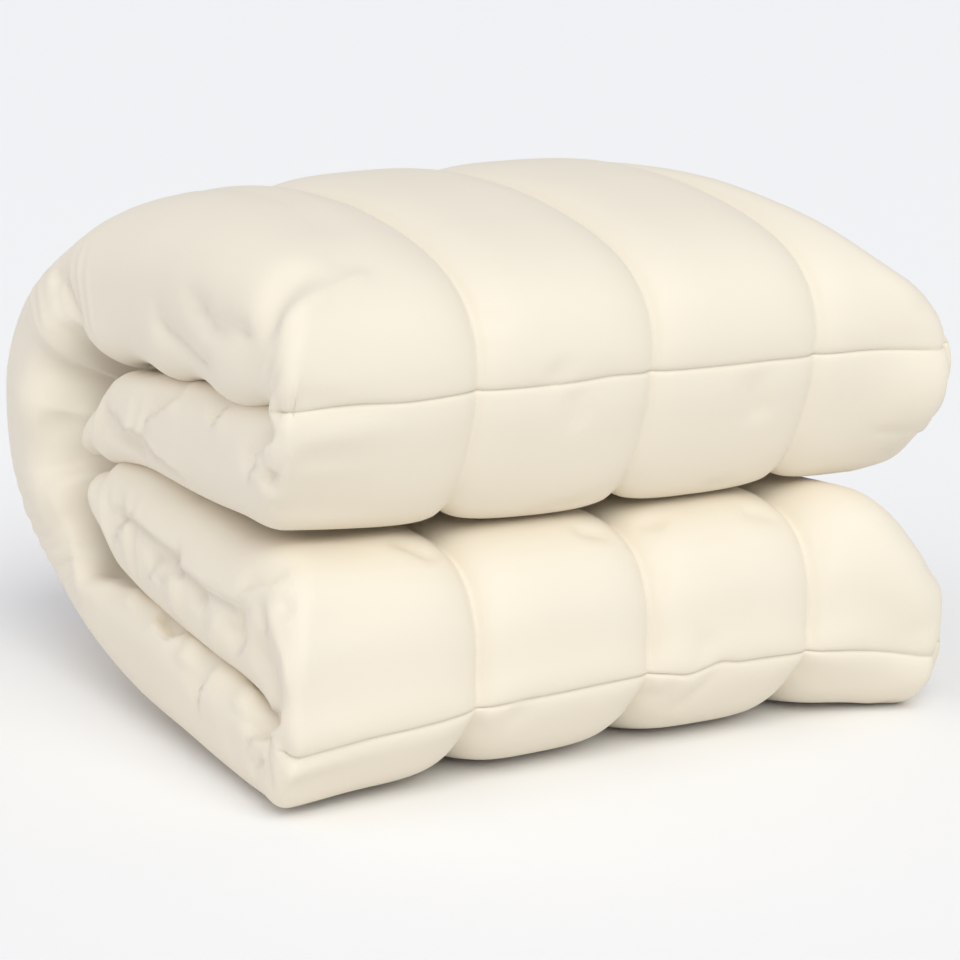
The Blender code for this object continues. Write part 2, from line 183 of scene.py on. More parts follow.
@dataclass(frozen=True)
class FoldedRibbon:
    """The section through the folded blanket and the outline of its double layer."""

    inner_round: float = 0.40        # left edge's reach on the inner face, in thicknesses
    outer_power: float = 2.3         # 2 makes the left edge an ellipse, more makes it blunter
    inner_power: float = 3.0
    edge_lean: float = 0.6           # how far the left edge's tip leans to its tighter side
    hem_thickness: float = 0.0050
    hem_flange: float = 0.010        # flat unfilled strip at the side hems
    hem_reach: float = 0.030
    hem_spread: float = 1.0
    slope_power: float = 1.6
    high_slope: float = 0.085
    droop_reach: float = 0.150
    dip_power: float = 3.6           # higher makes the valleys between channels narrower

    def rows(self, place: Array) -> dict[str, Array]:
        """Sample SECTION at any places along the ribbon.

        Between two rows each value follows the cubic whose slope at a row is that of the
        line through the row's two neighbours.

        Args:
            place: row numbers, with fractions between rows.

        Returns:
            One array of the same shape for each column of SECTION.
        """
        names = list(FoldRow.__dataclass_fields__)[1:]
        table = np.array([[getattr(row, name) for name in names] for row in SECTION])
        slopes = np.gradient(table, axis=0)
        index = np.clip(np.floor(place).astype(int), 0, len(table) - 2)
        t = (place - index)[..., None]
        values = ((2 * t**3 - 3 * t**2 + 1) * table[index] + (t**3 - 2 * t**2 + t) * slopes[index]
                  + (3 * t**2 - 2 * t**3) * table[index + 1] + (t**3 - t**2) * slopes[index + 1])
        return {name: values[..., number] for number, name in enumerate(names)}

    def length_along(self) -> tuple[Array, Array]:
        """Distance along the ribbon's outer face.

        Returns:
            Places along the ribbon, and the distance of each from end A.
        """
        place = np.linspace(0, len(SECTION) - 1, 40 * len(SECTION))
        rows = self.rows(place)
        steps = np.hypot(np.diff(rows["out_y"]), np.diff(rows["out_z"]))
        return place, np.concatenate([[0.0], np.cumsum(steps)])

    def distance(self, place: Array | float) -> Array:
        """Distance from end A of places along the ribbon."""
        return np.interp(place, *self.length_along())

    def place(self, distance: Array | float) -> Array:
        """Place along the ribbon at distances from end A."""
        places, along = self.length_along()
        return np.interp(distance, along, places)

    def length(self) -> float:
        """Length of the ribbon's outer face."""
        return float(self.length_along()[1][-1])

    def valley(self, x: Array) -> Array:
        """Share of a valley's depth at x: a power of the distance from mid-channel."""
        across = in_channels(x)
        from_middle = np.abs(across - np.floor(across) - 0.5) * 2
        quilted = (x > LEFT + CHANNEL / 2) & (x < RIGHT - CHANNEL / 2)
        return np.where(quilted, from_middle ** self.dip_power, 0.0)

    def thickness(self, rows: dict[str, Array]) -> Array:
        """Half the distance between the ribbon's faces."""
        return np.hypot(rows["out_y"] - rows["in_y"], rows["out_z"] - rows["in_z"]) / 2

    def edge_reach(self, rows: dict[str, Array], side: Side) -> Array:
        """Reach along X of the left edge on one face."""
        if side is Side.OUTER:
            return rows["round"]
        return self.inner_round * 2 * self.thickness(rows)

    def edge_tip(self, rows: dict[str, Array]) -> Array:
        """Height of the left edge's tip, which leans to the side that turns tighter."""
        outer, inner = self.edge_reach(rows, Side.OUTER), self.edge_reach(rows, Side.INNER)
        return self.edge_lean * self.thickness(rows) * (inner - outer) / (inner + outer)

    def face_height(self, rows: dict[str, Array], x: Array, side: Side) -> Array:
        """Height of one face over the ribbon's middle at x.

        A superellipse at the left edge, flat but for the valleys, and a taper down to the
        side hem: a high slope runs as a power of the distance, a low one as a quarter
        ellipse.
        """
        half = self.thickness(rows)
        tip = self.edge_tip(rows)
        power = self.outer_power if side is Side.OUTER else self.inner_power
        dip = rows["dip"] if side is Side.OUTER else rows["dip"] / 2
        into_edge = np.clip((x - LEFT) / self.edge_reach(rows, side), 0.0, 1.0)
        rise = (1 - (1 - into_edge) ** power) ** (1 / power)
        full = tip + (side.value * (half - dip * self.valley(x)) - tip) * rise
        lip = rows["hem"] * half + side.value * (rows["part"] + self.hem_thickness)
        height = np.abs(side.value * half - lip)
        reach = self.hem_reach + self.hem_spread * height
        inside = np.clip((x - (RIGHT - reach)) / (reach - self.hem_flange), 0.0, 1.0)
        sloping = np.minimum(height / self.high_slope, 1.0)
        drop = (sloping * inside ** self.slope_power
                + (1 - sloping) * (1 - np.sqrt(1 - inside**2)))
        return full + (lip - full) * drop

    def wall_height(self, rows: dict[str, Array], x: Array, side: Side) -> Array:
        """Height of one wall of the gap between the plies at x, 0 left of the gap."""
        share = np.clip((RIGHT - x) / rows["depth"], 0.0, 1.0)
        middle = rows["hem"] * self.thickness(rows) * (1 - share)
        return middle + side.value * rows["part"] * np.sqrt(1 - share**6)

    def lay(self, rows: dict[str, Array], x: Array, height: Array) -> Array:
        """Turn (x, height over the ribbon's middle) into points of the folded blanket."""
        half = self.thickness(rows)
        lean_y = (rows["out_y"] - rows["in_y"]) / (2 * half)
        lean_z = (rows["out_z"] - rows["in_z"]) / (2 * half)
        y = (rows["in_y"] + rows["out_y"]) / 2 + lean_y * height + DEPTH_SHIFT
        z = (rows["in_z"] + rows["out_z"]) / 2 + lean_z * height
        share = (height / half + 1) / 2
        z = z + share * rows["arch"] * (1 - (2 * x / WIDTH) ** 2)
        z = z + share * rows["lift"] * np.maximum(0.0, -2 * x / WIDTH) ** 2
        z = z - share * rows["droop"] * np.maximum(0.0, 1 - (RIGHT - x) / self.droop_reach) ** 2
        return np.stack([x, y, z], axis=-1)


# ------------------------------------------------------------------ grids on the ribbon
def graded(length: float, marks: tuple[float, ...], fine: float, coarse: float,
           growth: float = 0.35) -> Array:
    """Places from 0 to length whose spacing grows away from the marks.

    The spacing is fine plus growth times the distance to the nearest mark, up to coarse.
    Every mark is a place itself.

    Args:
        length: end of the line, in metres.
        marks: distances along it where the spacing is fine.
        fine: spacing at a mark.
        coarse: largest spacing.
        growth: how much the spacing grows for each metre from a mark.
    """
    ends = sorted({0.0, length, *marks})
    pieces = []
    for start, stop in zip(ends, ends[1:]):
        line = np.linspace(start, stop, 2000)
        nearest = np.min([np.abs(line - mark) for mark in (*marks, 1e3)], axis=0)
        density = 1 / np.minimum(fine + growth * nearest, coarse)
        between = (density[1:] + density[:-1]) / 2 * np.diff(line)
        count = np.concatenate([[0.0], np.cumsum(between)])
        steps = max(1, round(count[-1]))
        pieces.append(np.interp(np.linspace(0, count[-1], steps + 1), count, line)[:-1])
    return np.concatenate([*pieces, [length]])


class Zone(Enum):
    """The stretches of the outline across the width, in the order in which it runs."""

    OUTER_EDGE = 0
    OUTER_FACE = 1
    OUTER_LIP = 2
    OUTER_WALL = 3
    INNER_WALL = 4
    INNER_LIP = 5
    INNER_FACE = 6
    INNER_EDGE = 7


@dataclass(frozen=True)
class Fineness:
    """How finely the blanket's grid is laid out."""

    along: float                     # largest spacing along the ribbon
    seam: float                      # spacing at a seam
    across: float                    # largest spacing across the outer face
    inner_across: float              # largest spacing across the inner face
    edge_steps: int                  # steps round the left edge, on each side
    lip_steps: int
    wall_steps: int
    inner_marks: tuple[float, ...] = (0.0, 0.05, CHANNEL, WIDTH)   # inner face's finer places
    inner_mark: float = 0.004        # spacing there
    inner_growth: float = 0.25       # and how much it grows for each metre from them


FINE = Fineness(along=0.0056, seam=0.0013, across=0.0056, inner_across=0.016,
                edge_steps=18, lip_steps=4, wall_steps=4)


@dataclass
class Outline:
    """Columns of the grid: the closed outline of the double layer across the width.

    Every column belongs to a zone and has a parameter in it: the share of a quarter turn
    on an edge or half turn on a lip, a nominal x on a face, and on a wall the share of
    the way in from the hem.
    """

    fineness: Fineness
    zones: Array = field(init=False)
    values: Array = field(init=False)

    def __post_init__(self) -> None:
        """List the columns zone by zone."""
        detail = self.fineness
        outer = LEFT + graded(WIDTH, SEAM_LINES, detail.seam, detail.across)
        inner = LEFT + graded(WIDTH, detail.inner_marks, detail.inner_mark,
                              detail.inner_across, detail.inner_growth)
        turn = np.arange(detail.edge_steps) / detail.edge_steps
        lip = (np.arange(detail.lip_steps) + 1) / (detail.lip_steps + 1)
        wall = (np.arange(detail.wall_steps) + 1) / (detail.wall_steps + 1)
        stretches = (
            (Zone.OUTER_EDGE, turn),
            (Zone.OUTER_FACE, outer),
            (Zone.OUTER_LIP, lip),
            (Zone.OUTER_WALL, np.append(wall, 1.0)),
            (Zone.INNER_WALL, wall[::-1]),
            (Zone.INNER_LIP, lip[::-1]),
            (Zone.INNER_FACE, inner[::-1]),
            (Zone.INNER_EDGE, turn[:0:-1]),
        )
        self.zones = np.concatenate([np.full(len(v), zone.value) for zone, v in stretches])
        self.values = np.concatenate([v for _, v in stretches])

    def mask(self, *zones: Zone) -> Array:
        """True at the columns of these zones."""
        return np.isin(self.zones, [zone.value for zone in zones])


@dataclass
class FoldedSurface:
    """The whole blanket's surface as a grid: stations along the ribbon by outline columns."""

    ribbon: FoldedRibbon
    outline: Outline
    place: Array                     # (stations,) places along the ribbon
    end_flange: float = 0.010        # flat unfilled strip at both ends
    end_fill: float = 0.040          # the filling thins over this length before it
    end_thin: float = 0.40           # ply's thickness at the flange, as a share
    end_round: float = 0.0022        # the end hem's lip is rounded over this length
    end_lip: float = 0.12            # and starts at this share of the thickness there
    end_depth: float = 0.592         # at the ends the gap reaches in to the left fold
    end_part: float = 0.60           # half that gap, as a share of the half thickness
    end_open: tuple[float, float] = (0.02, 0.09)   # fully open up to here, closed from there
    hem_reach: float = 0.110         # the side hems wander over this much of the width
    hem_wave: float = 0.0035         # up and down
    hem_rates: tuple[int, int] = (41, 23)      # of the two sines, in radians a metre
    hem_draws: tuple[tuple[str, float], ...] = (
        ("u_over", 0.013), ("l_over", 0.006), ("t_back", 0.006))
    hem_draw_length: float = 0.060   # and inwards, over this length round a row

    def from_row(self, name: str, beyond: float = 0.0) -> Array:
        """Distance along the ribbon of every station from a place of SECTION."""
        return self.ribbon.distance(self.place) - self.ribbon.distance(row_place(name, beyond))

    def hem_drawn(self) -> tuple[Array, Array]:
        """How far the side hems wander.

        The draw is the sum of depth * exp(-(length to the row / 6 cm)^2), and the wave is the
        product of two sines of the length.

        Returns:
            The way inwards, and the way towards the outer face, at every station.
        """
        along = self.ribbon.distance(self.place)
        draw = np.zeros(len(along))
        for row, depth in self.hem_draws:
            draw += depth * np.exp(-(self.from_row(row) / self.hem_draw_length) ** 2)
        first, second = self.hem_rates
        return draw, self.hem_wave * np.sin(first * along) * np.sin(second * along + 1)

    def contraction(self) -> tuple[Array, Array]:
        """How far the plies thin at the ends of the ribbon.

        Returns:
            Thickness of each ply at every station, as a share of its full one, and how open
            the gap between the plies is, from 0 to 1.
        """
        from_start = self.ribbon.distance(self.place)
        to_end = np.minimum(from_start, self.ribbon.length() - from_start)
        flange = smoothstep(to_end, self.end_flange, self.end_flange + self.end_fill)
        lip = np.clip(to_end / self.end_round, 0.0, 1.0)
        rounding = self.end_lip + (1 - self.end_lip) * np.sqrt(1 - (1 - lip) ** 2)
        opening = 1 - smoothstep(to_end, *self.end_open)
        return (self.end_thin + (1 - self.end_thin) * flange) * rounding, opening

    def points(self) -> Array:
        """Work out the surface's points.

        Returns:
            An array (stations, columns, 3).
        """
        ribbon, values = self.ribbon, self.outline.values[None, :]
        zones = np.broadcast_to(self.outline.zones, (len(self.place), len(self.outline.zones)))
        rows = {name: column[:, None] for name, column in ribbon.rows(self.place).items()}
        thin, opening = (part[:, None] for part in self.contraction())
        half = ribbon.thickness(rows)
        rows["depth"] = rows["depth"] + opening * (self.end_depth - rows["depth"])
        rows["part"] = rows["part"] + opening * (self.end_part * half - rows["part"])
        x = np.zeros(zones.shape)
        height = np.zeros(zones.shape)
        hem = rows["hem"] * half
        flange_end = RIGHT - ribbon.hem_thickness / 2
        for side in Side:
            edge, face, lip, wall = {
                Side.OUTER: (Zone.OUTER_EDGE, Zone.OUTER_FACE, Zone.OUTER_LIP, Zone.OUTER_WALL),
                Side.INNER: (Zone.INNER_EDGE, Zone.INNER_FACE, Zone.INNER_LIP, Zone.INNER_WALL),
            }[side]
            reach = ribbon.edge_reach(rows, side)
            power = ribbon.outer_power if side is Side.OUTER else ribbon.inner_power
            turn = np.clip(values, 0.0, 1.0) * np.pi / 2
            edge_x = LEFT + reach * (1 - np.cos(turn) ** (2 / power))
            start = LEFT + reach
            nearer = np.clip((values - LEFT) / CHANNEL, 0.0, 1.0)
            face_x = np.where(values < LEFT + CHANNEL,
                              start + (LEFT + CHANNEL - start) * nearer, values)
            face_x = LEFT + (face_x - LEFT) * (flange_end - LEFT) / WIDTH
            wall_x = flange_end - (rows["depth"] - ribbon.hem_thickness / 2) * values
            for zone, zone_x in ((edge, edge_x), (face, face_x)):
                here = zones == zone.value
                tall = ribbon.face_height(rows, zone_x, side)
                middle = (tall + ribbon.wall_height(rows, zone_x, side)) / 2
                x = np.where(here, zone_x, x)
                height = np.where(here, middle + thin * (tall - middle), height)
            here = zones == wall.value
            low = ribbon.wall_height(rows, wall_x, side)
            middle = (low + ribbon.face_height(rows, wall_x, side)) / 2
            x = np.where(here, wall_x, x)
            height = np.where(here, middle + thin * (low - middle), height)
            here = zones == lip.value
            round_x = flange_end + ribbon.hem_thickness / 2 * np.sin(values * np.pi)
            middle = hem + side.value * (rows["part"] + ribbon.hem_thickness / 2)
            around = side.value * ribbon.hem_thickness / 2 * np.cos(values * np.pi)
            x = np.where(here, round_x, x)
            height = np.where(here, middle + thin * around, height)
        tip = (zones == Zone.OUTER_EDGE.value) & (values == 0.0)
        height = np.where(tip, ribbon.edge_tip(rows), height)
        near_hem = smoothstep(x, RIGHT - self.hem_reach, RIGHT)
        draw, wave = (part[:, None] for part in self.hem_drawn())
        return ribbon.lay(rows, x - draw * near_hem, height + wave * near_hem)


def grid_normals(points: Array) -> Array:
    """Unit normals of a grid that is closed across its columns.

    The normal is the cross product of the differences to the neighbours along the columns
    and along the stations.
    """
    across = np.roll(points, -1, axis=1) - np.roll(points, 1, axis=1)
    along = np.gradient(points, axis=0)
    normal = np.cross(across, along)
    return normal / np.maximum(np.linalg.norm(normal, axis=-1, keepdims=True), 1e-12)


def outward_normals(points: Array) -> Array:
    """Unit normals that point out of the blanket: to the left at the left edge."""
    normals = grid_normals(points)
    return normals if np.sum(normals[:, 0, 0]) < 0 else -normals


def grid_faces(stations: int, columns: int) -> Array:
    """Quads of a grid that is closed across its columns, as vertex numbers (faces, 4)."""
    here = np.arange(stations * columns).reshape(stations, columns)
    aside = np.roll(here, -1, axis=1)
    return np.stack([here[:-1], aside[:-1], aside[1:], here[1:]], axis=-1).reshape(-1, 4)


def cap_faces(points: Array, first: int, facing: float) -> Array:
    """Triangles that close one end of the ribbon between the lips of its plies.

    Args:
        points: the end station's points, (columns, 3).
        first: number of that station's first vertex.
        facing: 1 or -1, which way round the triangles run.
    """
    flat = np.stack([points[:, 0], points[:, 2] - points[:, 1], np.zeros(len(points))], axis=-1)
    corners = np.array(tessellate_polygon([flat.tolist()])) + first
    a, b, c = (flat[corners[:, number] - first] for number in range(3))
    area = np.cross(b - a, c - a)[:, 2]
    return np.where((area * facing < 0)[:, None], corners[:, ::-1], corners)


def mesh_object(name: str, points: Array, faces: list[Array]) -> bpy.types.Object:
    """Make a smooth mesh object from arrays of points and of faces with equal corners.

    Args:
        name: the object's name.
        points: (n, 3) vertices.
        faces: arrays (count, corners), joined in this order.
    """
    mesh = bpy.data.meshes.new(name)
    sizes = np.concatenate([np.full(len(part), part.shape[1]) for part in faces])
    mesh.vertices.add(len(points))
    mesh.vertices.foreach_set("co", points.astype(np.float32).ravel())
    mesh.loops.add(int(sizes.sum()))
    corners = np.concatenate([part.ravel() for part in faces]).astype(np.int32)
    mesh.loops.foreach_set("vertex_index", corners)
    mesh.polygons.add(len(sizes))
    starts = np.concatenate([[0], np.cumsum(sizes)[:-1]]).astype(np.int32)
    mesh.polygons.foreach_set("loop_start", starts)
    mesh.update(calc_edges=True)
    mesh.shade_smooth()
    body = bpy.data.objects.new(name, mesh)
    bpy.context.scene.collection.objects.link(body)
    return body


# ------------------------------------------------------------------ quilting
@dataclass(frozen=True)
class CrossSeam:
    """A line of stitching across the width, in the middle of a front fold.

    waves: places where the line runs lower, each as its distance from the left edge, its
    reach along X and its depth.
    """

    row: str
    waves: tuple[tuple[float, float, float], ...] = ()
    groove: float = 0.0030           # depth of the sharp line
    groove_width: float = 0.0018
    trough: float = 0.0020           # depth of the soft hollow round it
    trough_width: float = 0.016


@dataclass(frozen=True)
class Quilting:
    """The sewn lines, pressed into the outer face."""

    cross_seams: tuple[CrossSeam, ...] = (
        CrossSeam("u_seam", ((0.10, 0.030, 0.0015), (0.27, 0.022, -0.0015),
                             (0.45, 0.030, 0.0010))),
        CrossSeam("l_seam", ((0.12, 0.030, 0.0015), (0.340, 0.018, 0.0045),
                             (0.372, 0.010, -0.0025))),
    )
    wave_reach: float = 0.016        # above and below the line
    groove: float = 0.0027           # channel seams
    groove_width: float = 0.0050
    crown: float = 0.0015            # how much a channel's middle stands proud
    crown_fade: float = 0.3          # the outermost crowns fade out here, in channels
    inner_share: float = 0.6         # relief of the inner face, as a share of the outer one's

    def waver(self, surface: FoldedSurface, points: Array) -> Array:
        """Way that the cloth by the cross seams shifts down, so that their lines waver."""
        outer = surface.outline.mask(Zone.OUTER_FACE, Zone.OUTER_EDGE)[None, :]
        shift = np.zeros_like(points)
        for seam in self.cross_seams:
            away = surface.from_row(seam.row)[:, None]
            near = np.exp(-((away / self.wave_reach) ** 2)) * outer
            for middle, reach, depth in seam.waves:
                sideways = (points[..., 0] - LEFT - middle) / reach
                shift[..., 2] -= depth * near * np.exp(-(sideways ** 2))
        return shift

    def relief(self, surface: FoldedSurface, points: Array) -> Array:
        """Height of the quilting's relief along the surface's normal.

        Each seam is a sharp groove, exp(-distance / width), and a cross seam also lies in a
        soft trough, exp(-(distance / width)^2).  Channels are crowned as 1 - u^2 between
        their seams.
        """
        outline = surface.outline
        face = outline.mask(Zone.OUTER_FACE, Zone.INNER_FACE)[None, :]
        inner = outline.mask(Zone.INNER_FACE, Zone.INNER_EDGE)[None, :]
        outer = outline.mask(Zone.OUTER_FACE, Zone.OUTER_EDGE)[None, :]
        distance = seam_distance(points[..., 0])
        relief = -self.groove * np.exp(-distance / self.groove_width) * face
        across = in_channels(points[..., 0])
        share = 1 - (2 * (across - np.floor(across)) - 1) ** 2
        fade = self.crown_fade * CHANNEL
        quilted = smoothstep(points[..., 0], LEFT + fade, LEFT + CHANNEL)
        quilted = quilted * (1 - smoothstep(points[..., 0], RIGHT - CHANNEL, RIGHT - fade))
        relief = relief + self.crown * share * quilted * outline.mask(Zone.OUTER_FACE)[None, :]
        relief = relief * np.where(inner, self.inner_share, 1.0)
        for seam in self.cross_seams:
            away = np.abs(surface.from_row(seam.row))[:, None]
            line = seam.groove * np.exp(-away / seam.groove_width)
            hollow = seam.trough * np.exp(-(away / seam.trough_width) ** 2)
            relief = relief - (line + hollow) * outer
        return relief


# ------------------------------------------------------------------ soft sculpting
@dataclass(frozen=True)
class Spot:
    """A place on the surface.

    row, beyond: a row of SECTION and a fraction of a row beyond it.
    across: distance round the outline from the left edge's tip, positive on the outer face
    and negative on the inner face.
    """

    row: str
    beyond: float
    across: float


LAP_RISE = 0.35                       # a lap stands this share of its depth proud of the cloth
LAP_SHORT, LAP_LONG = 0.3, 0.7        # its reach on the pocket's side and on the other, in widths
POCKET = 1.3                          # how deep its pocket is, in depths
TUCK_SWELL, TUCK_REACH = 0.50, 1.3    # the swelling on both sides of a tuck


class Profile(Enum):
    """How a crease runs away from its line, by the distance q in widths."""

    TROUGH = "trough"                # soft hollow, -exp(-q^2)
    TUCK = "tuck"                    # sharp valley with a swelling on both sides
    RIDGE = "ridge"                  # soft ridge, exp(-q^2)
    EDGE = "edge"                    # sharp outward fold, exp(-q)
    STEP = "step"                    # cloth lapped over a pocket on the line's right side


def crease_profile(q: Array, right: Array, profile: Profile) -> Array:
    """Relief of a crease for a depth of 1.

    Args:
        q: distance from the crease's line in widths.
        right: true on the line's right side, looking at the cloth from outside.
        profile: the crease's kind.
    """
    if profile is Profile.STEP:
        lap = np.where(right, np.exp(-q / LAP_SHORT), np.exp(-q / LAP_LONG))
        pocket = (1 - np.exp(-q / LAP_SHORT)) * np.exp(-(q**2)) * POCKET
        return LAP_RISE * lap - np.where(right, pocket, 0.0)
    if profile is Profile.TROUGH:
        return -np.exp(-q**2)
    if profile is Profile.TUCK:
        return -np.exp(-q) + TUCK_SWELL * q * np.exp(-q / TUCK_REACH)
    if profile is Profile.RIDGE:
        return np.exp(-q**2)
    return np.exp(-q)


@dataclass(frozen=True)
class Crease:
    """A fold line of the cloth through two or more spots.

    fade: share of the line over which it dies out at each end.
    """

    profile: Profile
    width: float
    depth: float
    fade: float
    spots: tuple[Spot, ...]


@dataclass(frozen=True)
class Swell:
    """A rounded bulge, or a hollow where the height is negative."""

    spot: Spot
    along: float                     # reach along the ribbon
    across: float                    # reach round the outline
    height: float


@dataclass
class SurfaceMap:
    """Finds spots on a grid of surface points."""

    surface: FoldedSurface
    points: Array
    across: Array = field(init=False)
    normals: Array = field(init=False)
    crease_rows: float = 1.4         # a crease reaches this many rows beyond its spots
    swell_rows: float = 4.0          # and a swell this many
    fade_start: float = -0.02        # creases fade in from this share of their line
    soft_end: tuple[float, float] = (0.03, 0.012)   # the relief fades out before the side hems

    def __post_init__(self) -> None:
        """Work out every point's signed distance round the outline from the left tip."""
        outline = self.surface.outline
        self.normals = outward_normals(self.points)
        outer = np.flatnonzero(outline.mask(Zone.OUTER_EDGE, Zone.OUTER_FACE))
        inner = np.flatnonzero(outline.mask(Zone.INNER_FACE, Zone.INNER_EDGE))
        inner = np.concatenate([[outer[0]], inner[::-1]])
        self.across = np.full(self.points.shape[:2], np.nan)
        for order, sign in ((inner, -1), (outer, 1)):
            steps = np.linalg.norm(np.diff(self.points[:, order], axis=1), axis=-1)
            self.across[:, order[1:]] = sign * np.cumsum(steps, axis=1)
            self.across[:, order[0]] = 0.0

    def find(self, spot: Spot) -> Array:
        """Point of the surface nearest to a spot's place and distance across."""
        place = self.surface.place
        station = int(np.argmin(np.abs(place - row_place(spot.row, spot.beyond))))
        column = int(np.nanargmin(np.abs(self.across[station] - spot.across)))
        return self.points[station, column]

    def window(self, spots: tuple[Spot, ...], margin: float) -> slice:
        """Stations within a margin of rows of the spots, so that other layers stay out."""
        places = [row_place(spot.row, spot.beyond) for spot in spots]
        ends = (min(places) - margin, max(places) + margin)
        first, last = np.searchsorted(self.surface.place, ends)
        return slice(int(first), int(last))

    def crease_relief(self, crease: Crease) -> tuple[slice, Array]:
        """Relief of one crease over the stations near it."""
        rows = self.window(crease.spots, self.crease_rows)
        points = self.points[rows]
        line = [self.find(spot) for spot in crease.spots]
        lengths = [float(np.linalg.norm(b - a)) for a, b in zip(line, line[1:])]
        best = np.full(points.shape[:2], 1e3)
        share = np.zeros(points.shape[:2])
        right = np.zeros(points.shape[:2], dtype=bool)
        walked = 0.0
        for start, stop, length in zip(line, line[1:], lengths):
            direction = (stop - start) / length
            t = np.clip(np.einsum("ijk,k->ij", points - start, direction), 0.0, length)
            away = np.linalg.norm(points - start - t[..., None] * direction, axis=-1)
            rightwards = np.cross(direction, self.normals[rows])
            nearer = away < best
            right = np.where(nearer, ((points - start) * rightwards).sum(-1) > 0, right)
            best = np.where(nearer, away, best)
            share = np.where(nearer, (walked + t) / sum(lengths), share)
            walked += length
        fading = smoothstep(np.minimum(share, 1 - share), self.fade_start, crease.fade)
        relief = crease.depth * fading * crease_profile(best / crease.width, right, crease.profile)
        return rows, relief * self.soft_mask(rows)

    def swell_relief(self, swell: Swell) -> tuple[slice, Array]:
        """Relief of one bulge: a Gaussian of the distances along and across."""
        rows = self.window((swell.spot,), self.swell_rows)
        away = self.surface.from_row(swell.spot.row, swell.spot.beyond)[rows]
        relief = np.exp(-((away / swell.along) ** 2))[:, None]
        sideways = (np.nan_to_num(self.across[rows], nan=FAR) - swell.spot.across) / swell.across
        return rows, swell.height * relief * np.exp(-(sideways**2)) * self.soft_mask(rows)

    def soft_mask(self, rows: slice) -> Array:
        """1 on the faces and left edge, 0 at the hems and in the gap between the plies."""
        across = self.across[rows]
        x = self.points[rows][..., 0]
        start, stop = self.soft_end
        return np.where(np.isnan(across), 0.0, 1 - smoothstep(x, RIGHT - start, RIGHT - stop))


def crease(profile: Profile, width: float, depth: float, fade: float,
           *spots: tuple[str, float, float]) -> Crease:
    """A crease through spots, each given as its row, beyond and across."""
    return Crease(profile, width, depth, fade, tuple(Spot(*spot) for spot in spots))


SWELLS = tuple(Swell(Spot(*spot), *size) for spot, *size in (
    # the top roll's underside hangs down on the end below it
    (("t_front", -0.3, -0.065), 0.060, 0.045, 0.016),
    (("t_mid", 0.3, -0.070), 0.050, 0.045, 0.010),
    (("c_crown", -0.1, -0.075), 0.060, 0.045, 0.012),
    (("c_crown", 0.4, -0.160), 0.055, 0.070, 0.036),
    (("c_upper", 0.0, -0.145), 0.040, 0.070, 0.036),
    # the back fold's inner side bulges into the hollow at the left
    (("c_high", 0.4, -0.100), 0.050, 0.070, 0.042),
    (("c_back", 0.3, -0.120), 0.075, 0.080, 0.058),
    (("c_under", -0.5, -0.105), 0.060, 0.070, 0.040),
    # and leaves a hollow where it turns under end B
    (("c_heel", 0.4, -0.062), 0.032, 0.022, -0.010),
    # the bottom layer's upper edge rises to the layer above it
    (("g_rear", 0.4, -0.050), 0.090, 0.035, 0.013),
    (("g_front", 0.0, -0.045), 0.060, 0.030, 0.010),
    # the last channel stays full up to the side hems
    (("l_high", 0.0, 0.575), 0.055, 0.045, 0.014),
    (("l_under", 0.3, 0.590), 0.040, 0.045, 0.016),
    (("u_under", 0.3, 0.590), 0.050, 0.045, 0.018),
    (("u_over", 0.5, 0.590), 0.035, 0.040, 0.008),
    (("l_over", 0.3, 0.590), 0.040, 0.045, 0.014),
))

TROUGH, TUCK, RIDGE, EDGE, STEP = Profile
HEM = 0.7                             # a distance from the left edge beyond the side hems
PUCKER_SWING = 0.3                    # how far a pucker's ends lie from its row, in rows
PUCKER_START = 0.580                  # where the inner ends lie, from the left edge
PUCKER_SPREAD = 0.015                 # and how far they stray from there


def hem_pucker(number: int, row: str) -> tuple[tuple[str, float, float], ...]:
    """The two ends of the small pucker that runs in from the side hems near a row."""
    inner = PUCKER_START + PUCKER_SPREAD * math.sin(2 * number)
    return ((row, PUCKER_SWING * math.sin(5 * number), HEM),
            (row, PUCKER_SWING * math.sin(5 * number + 1), inner))


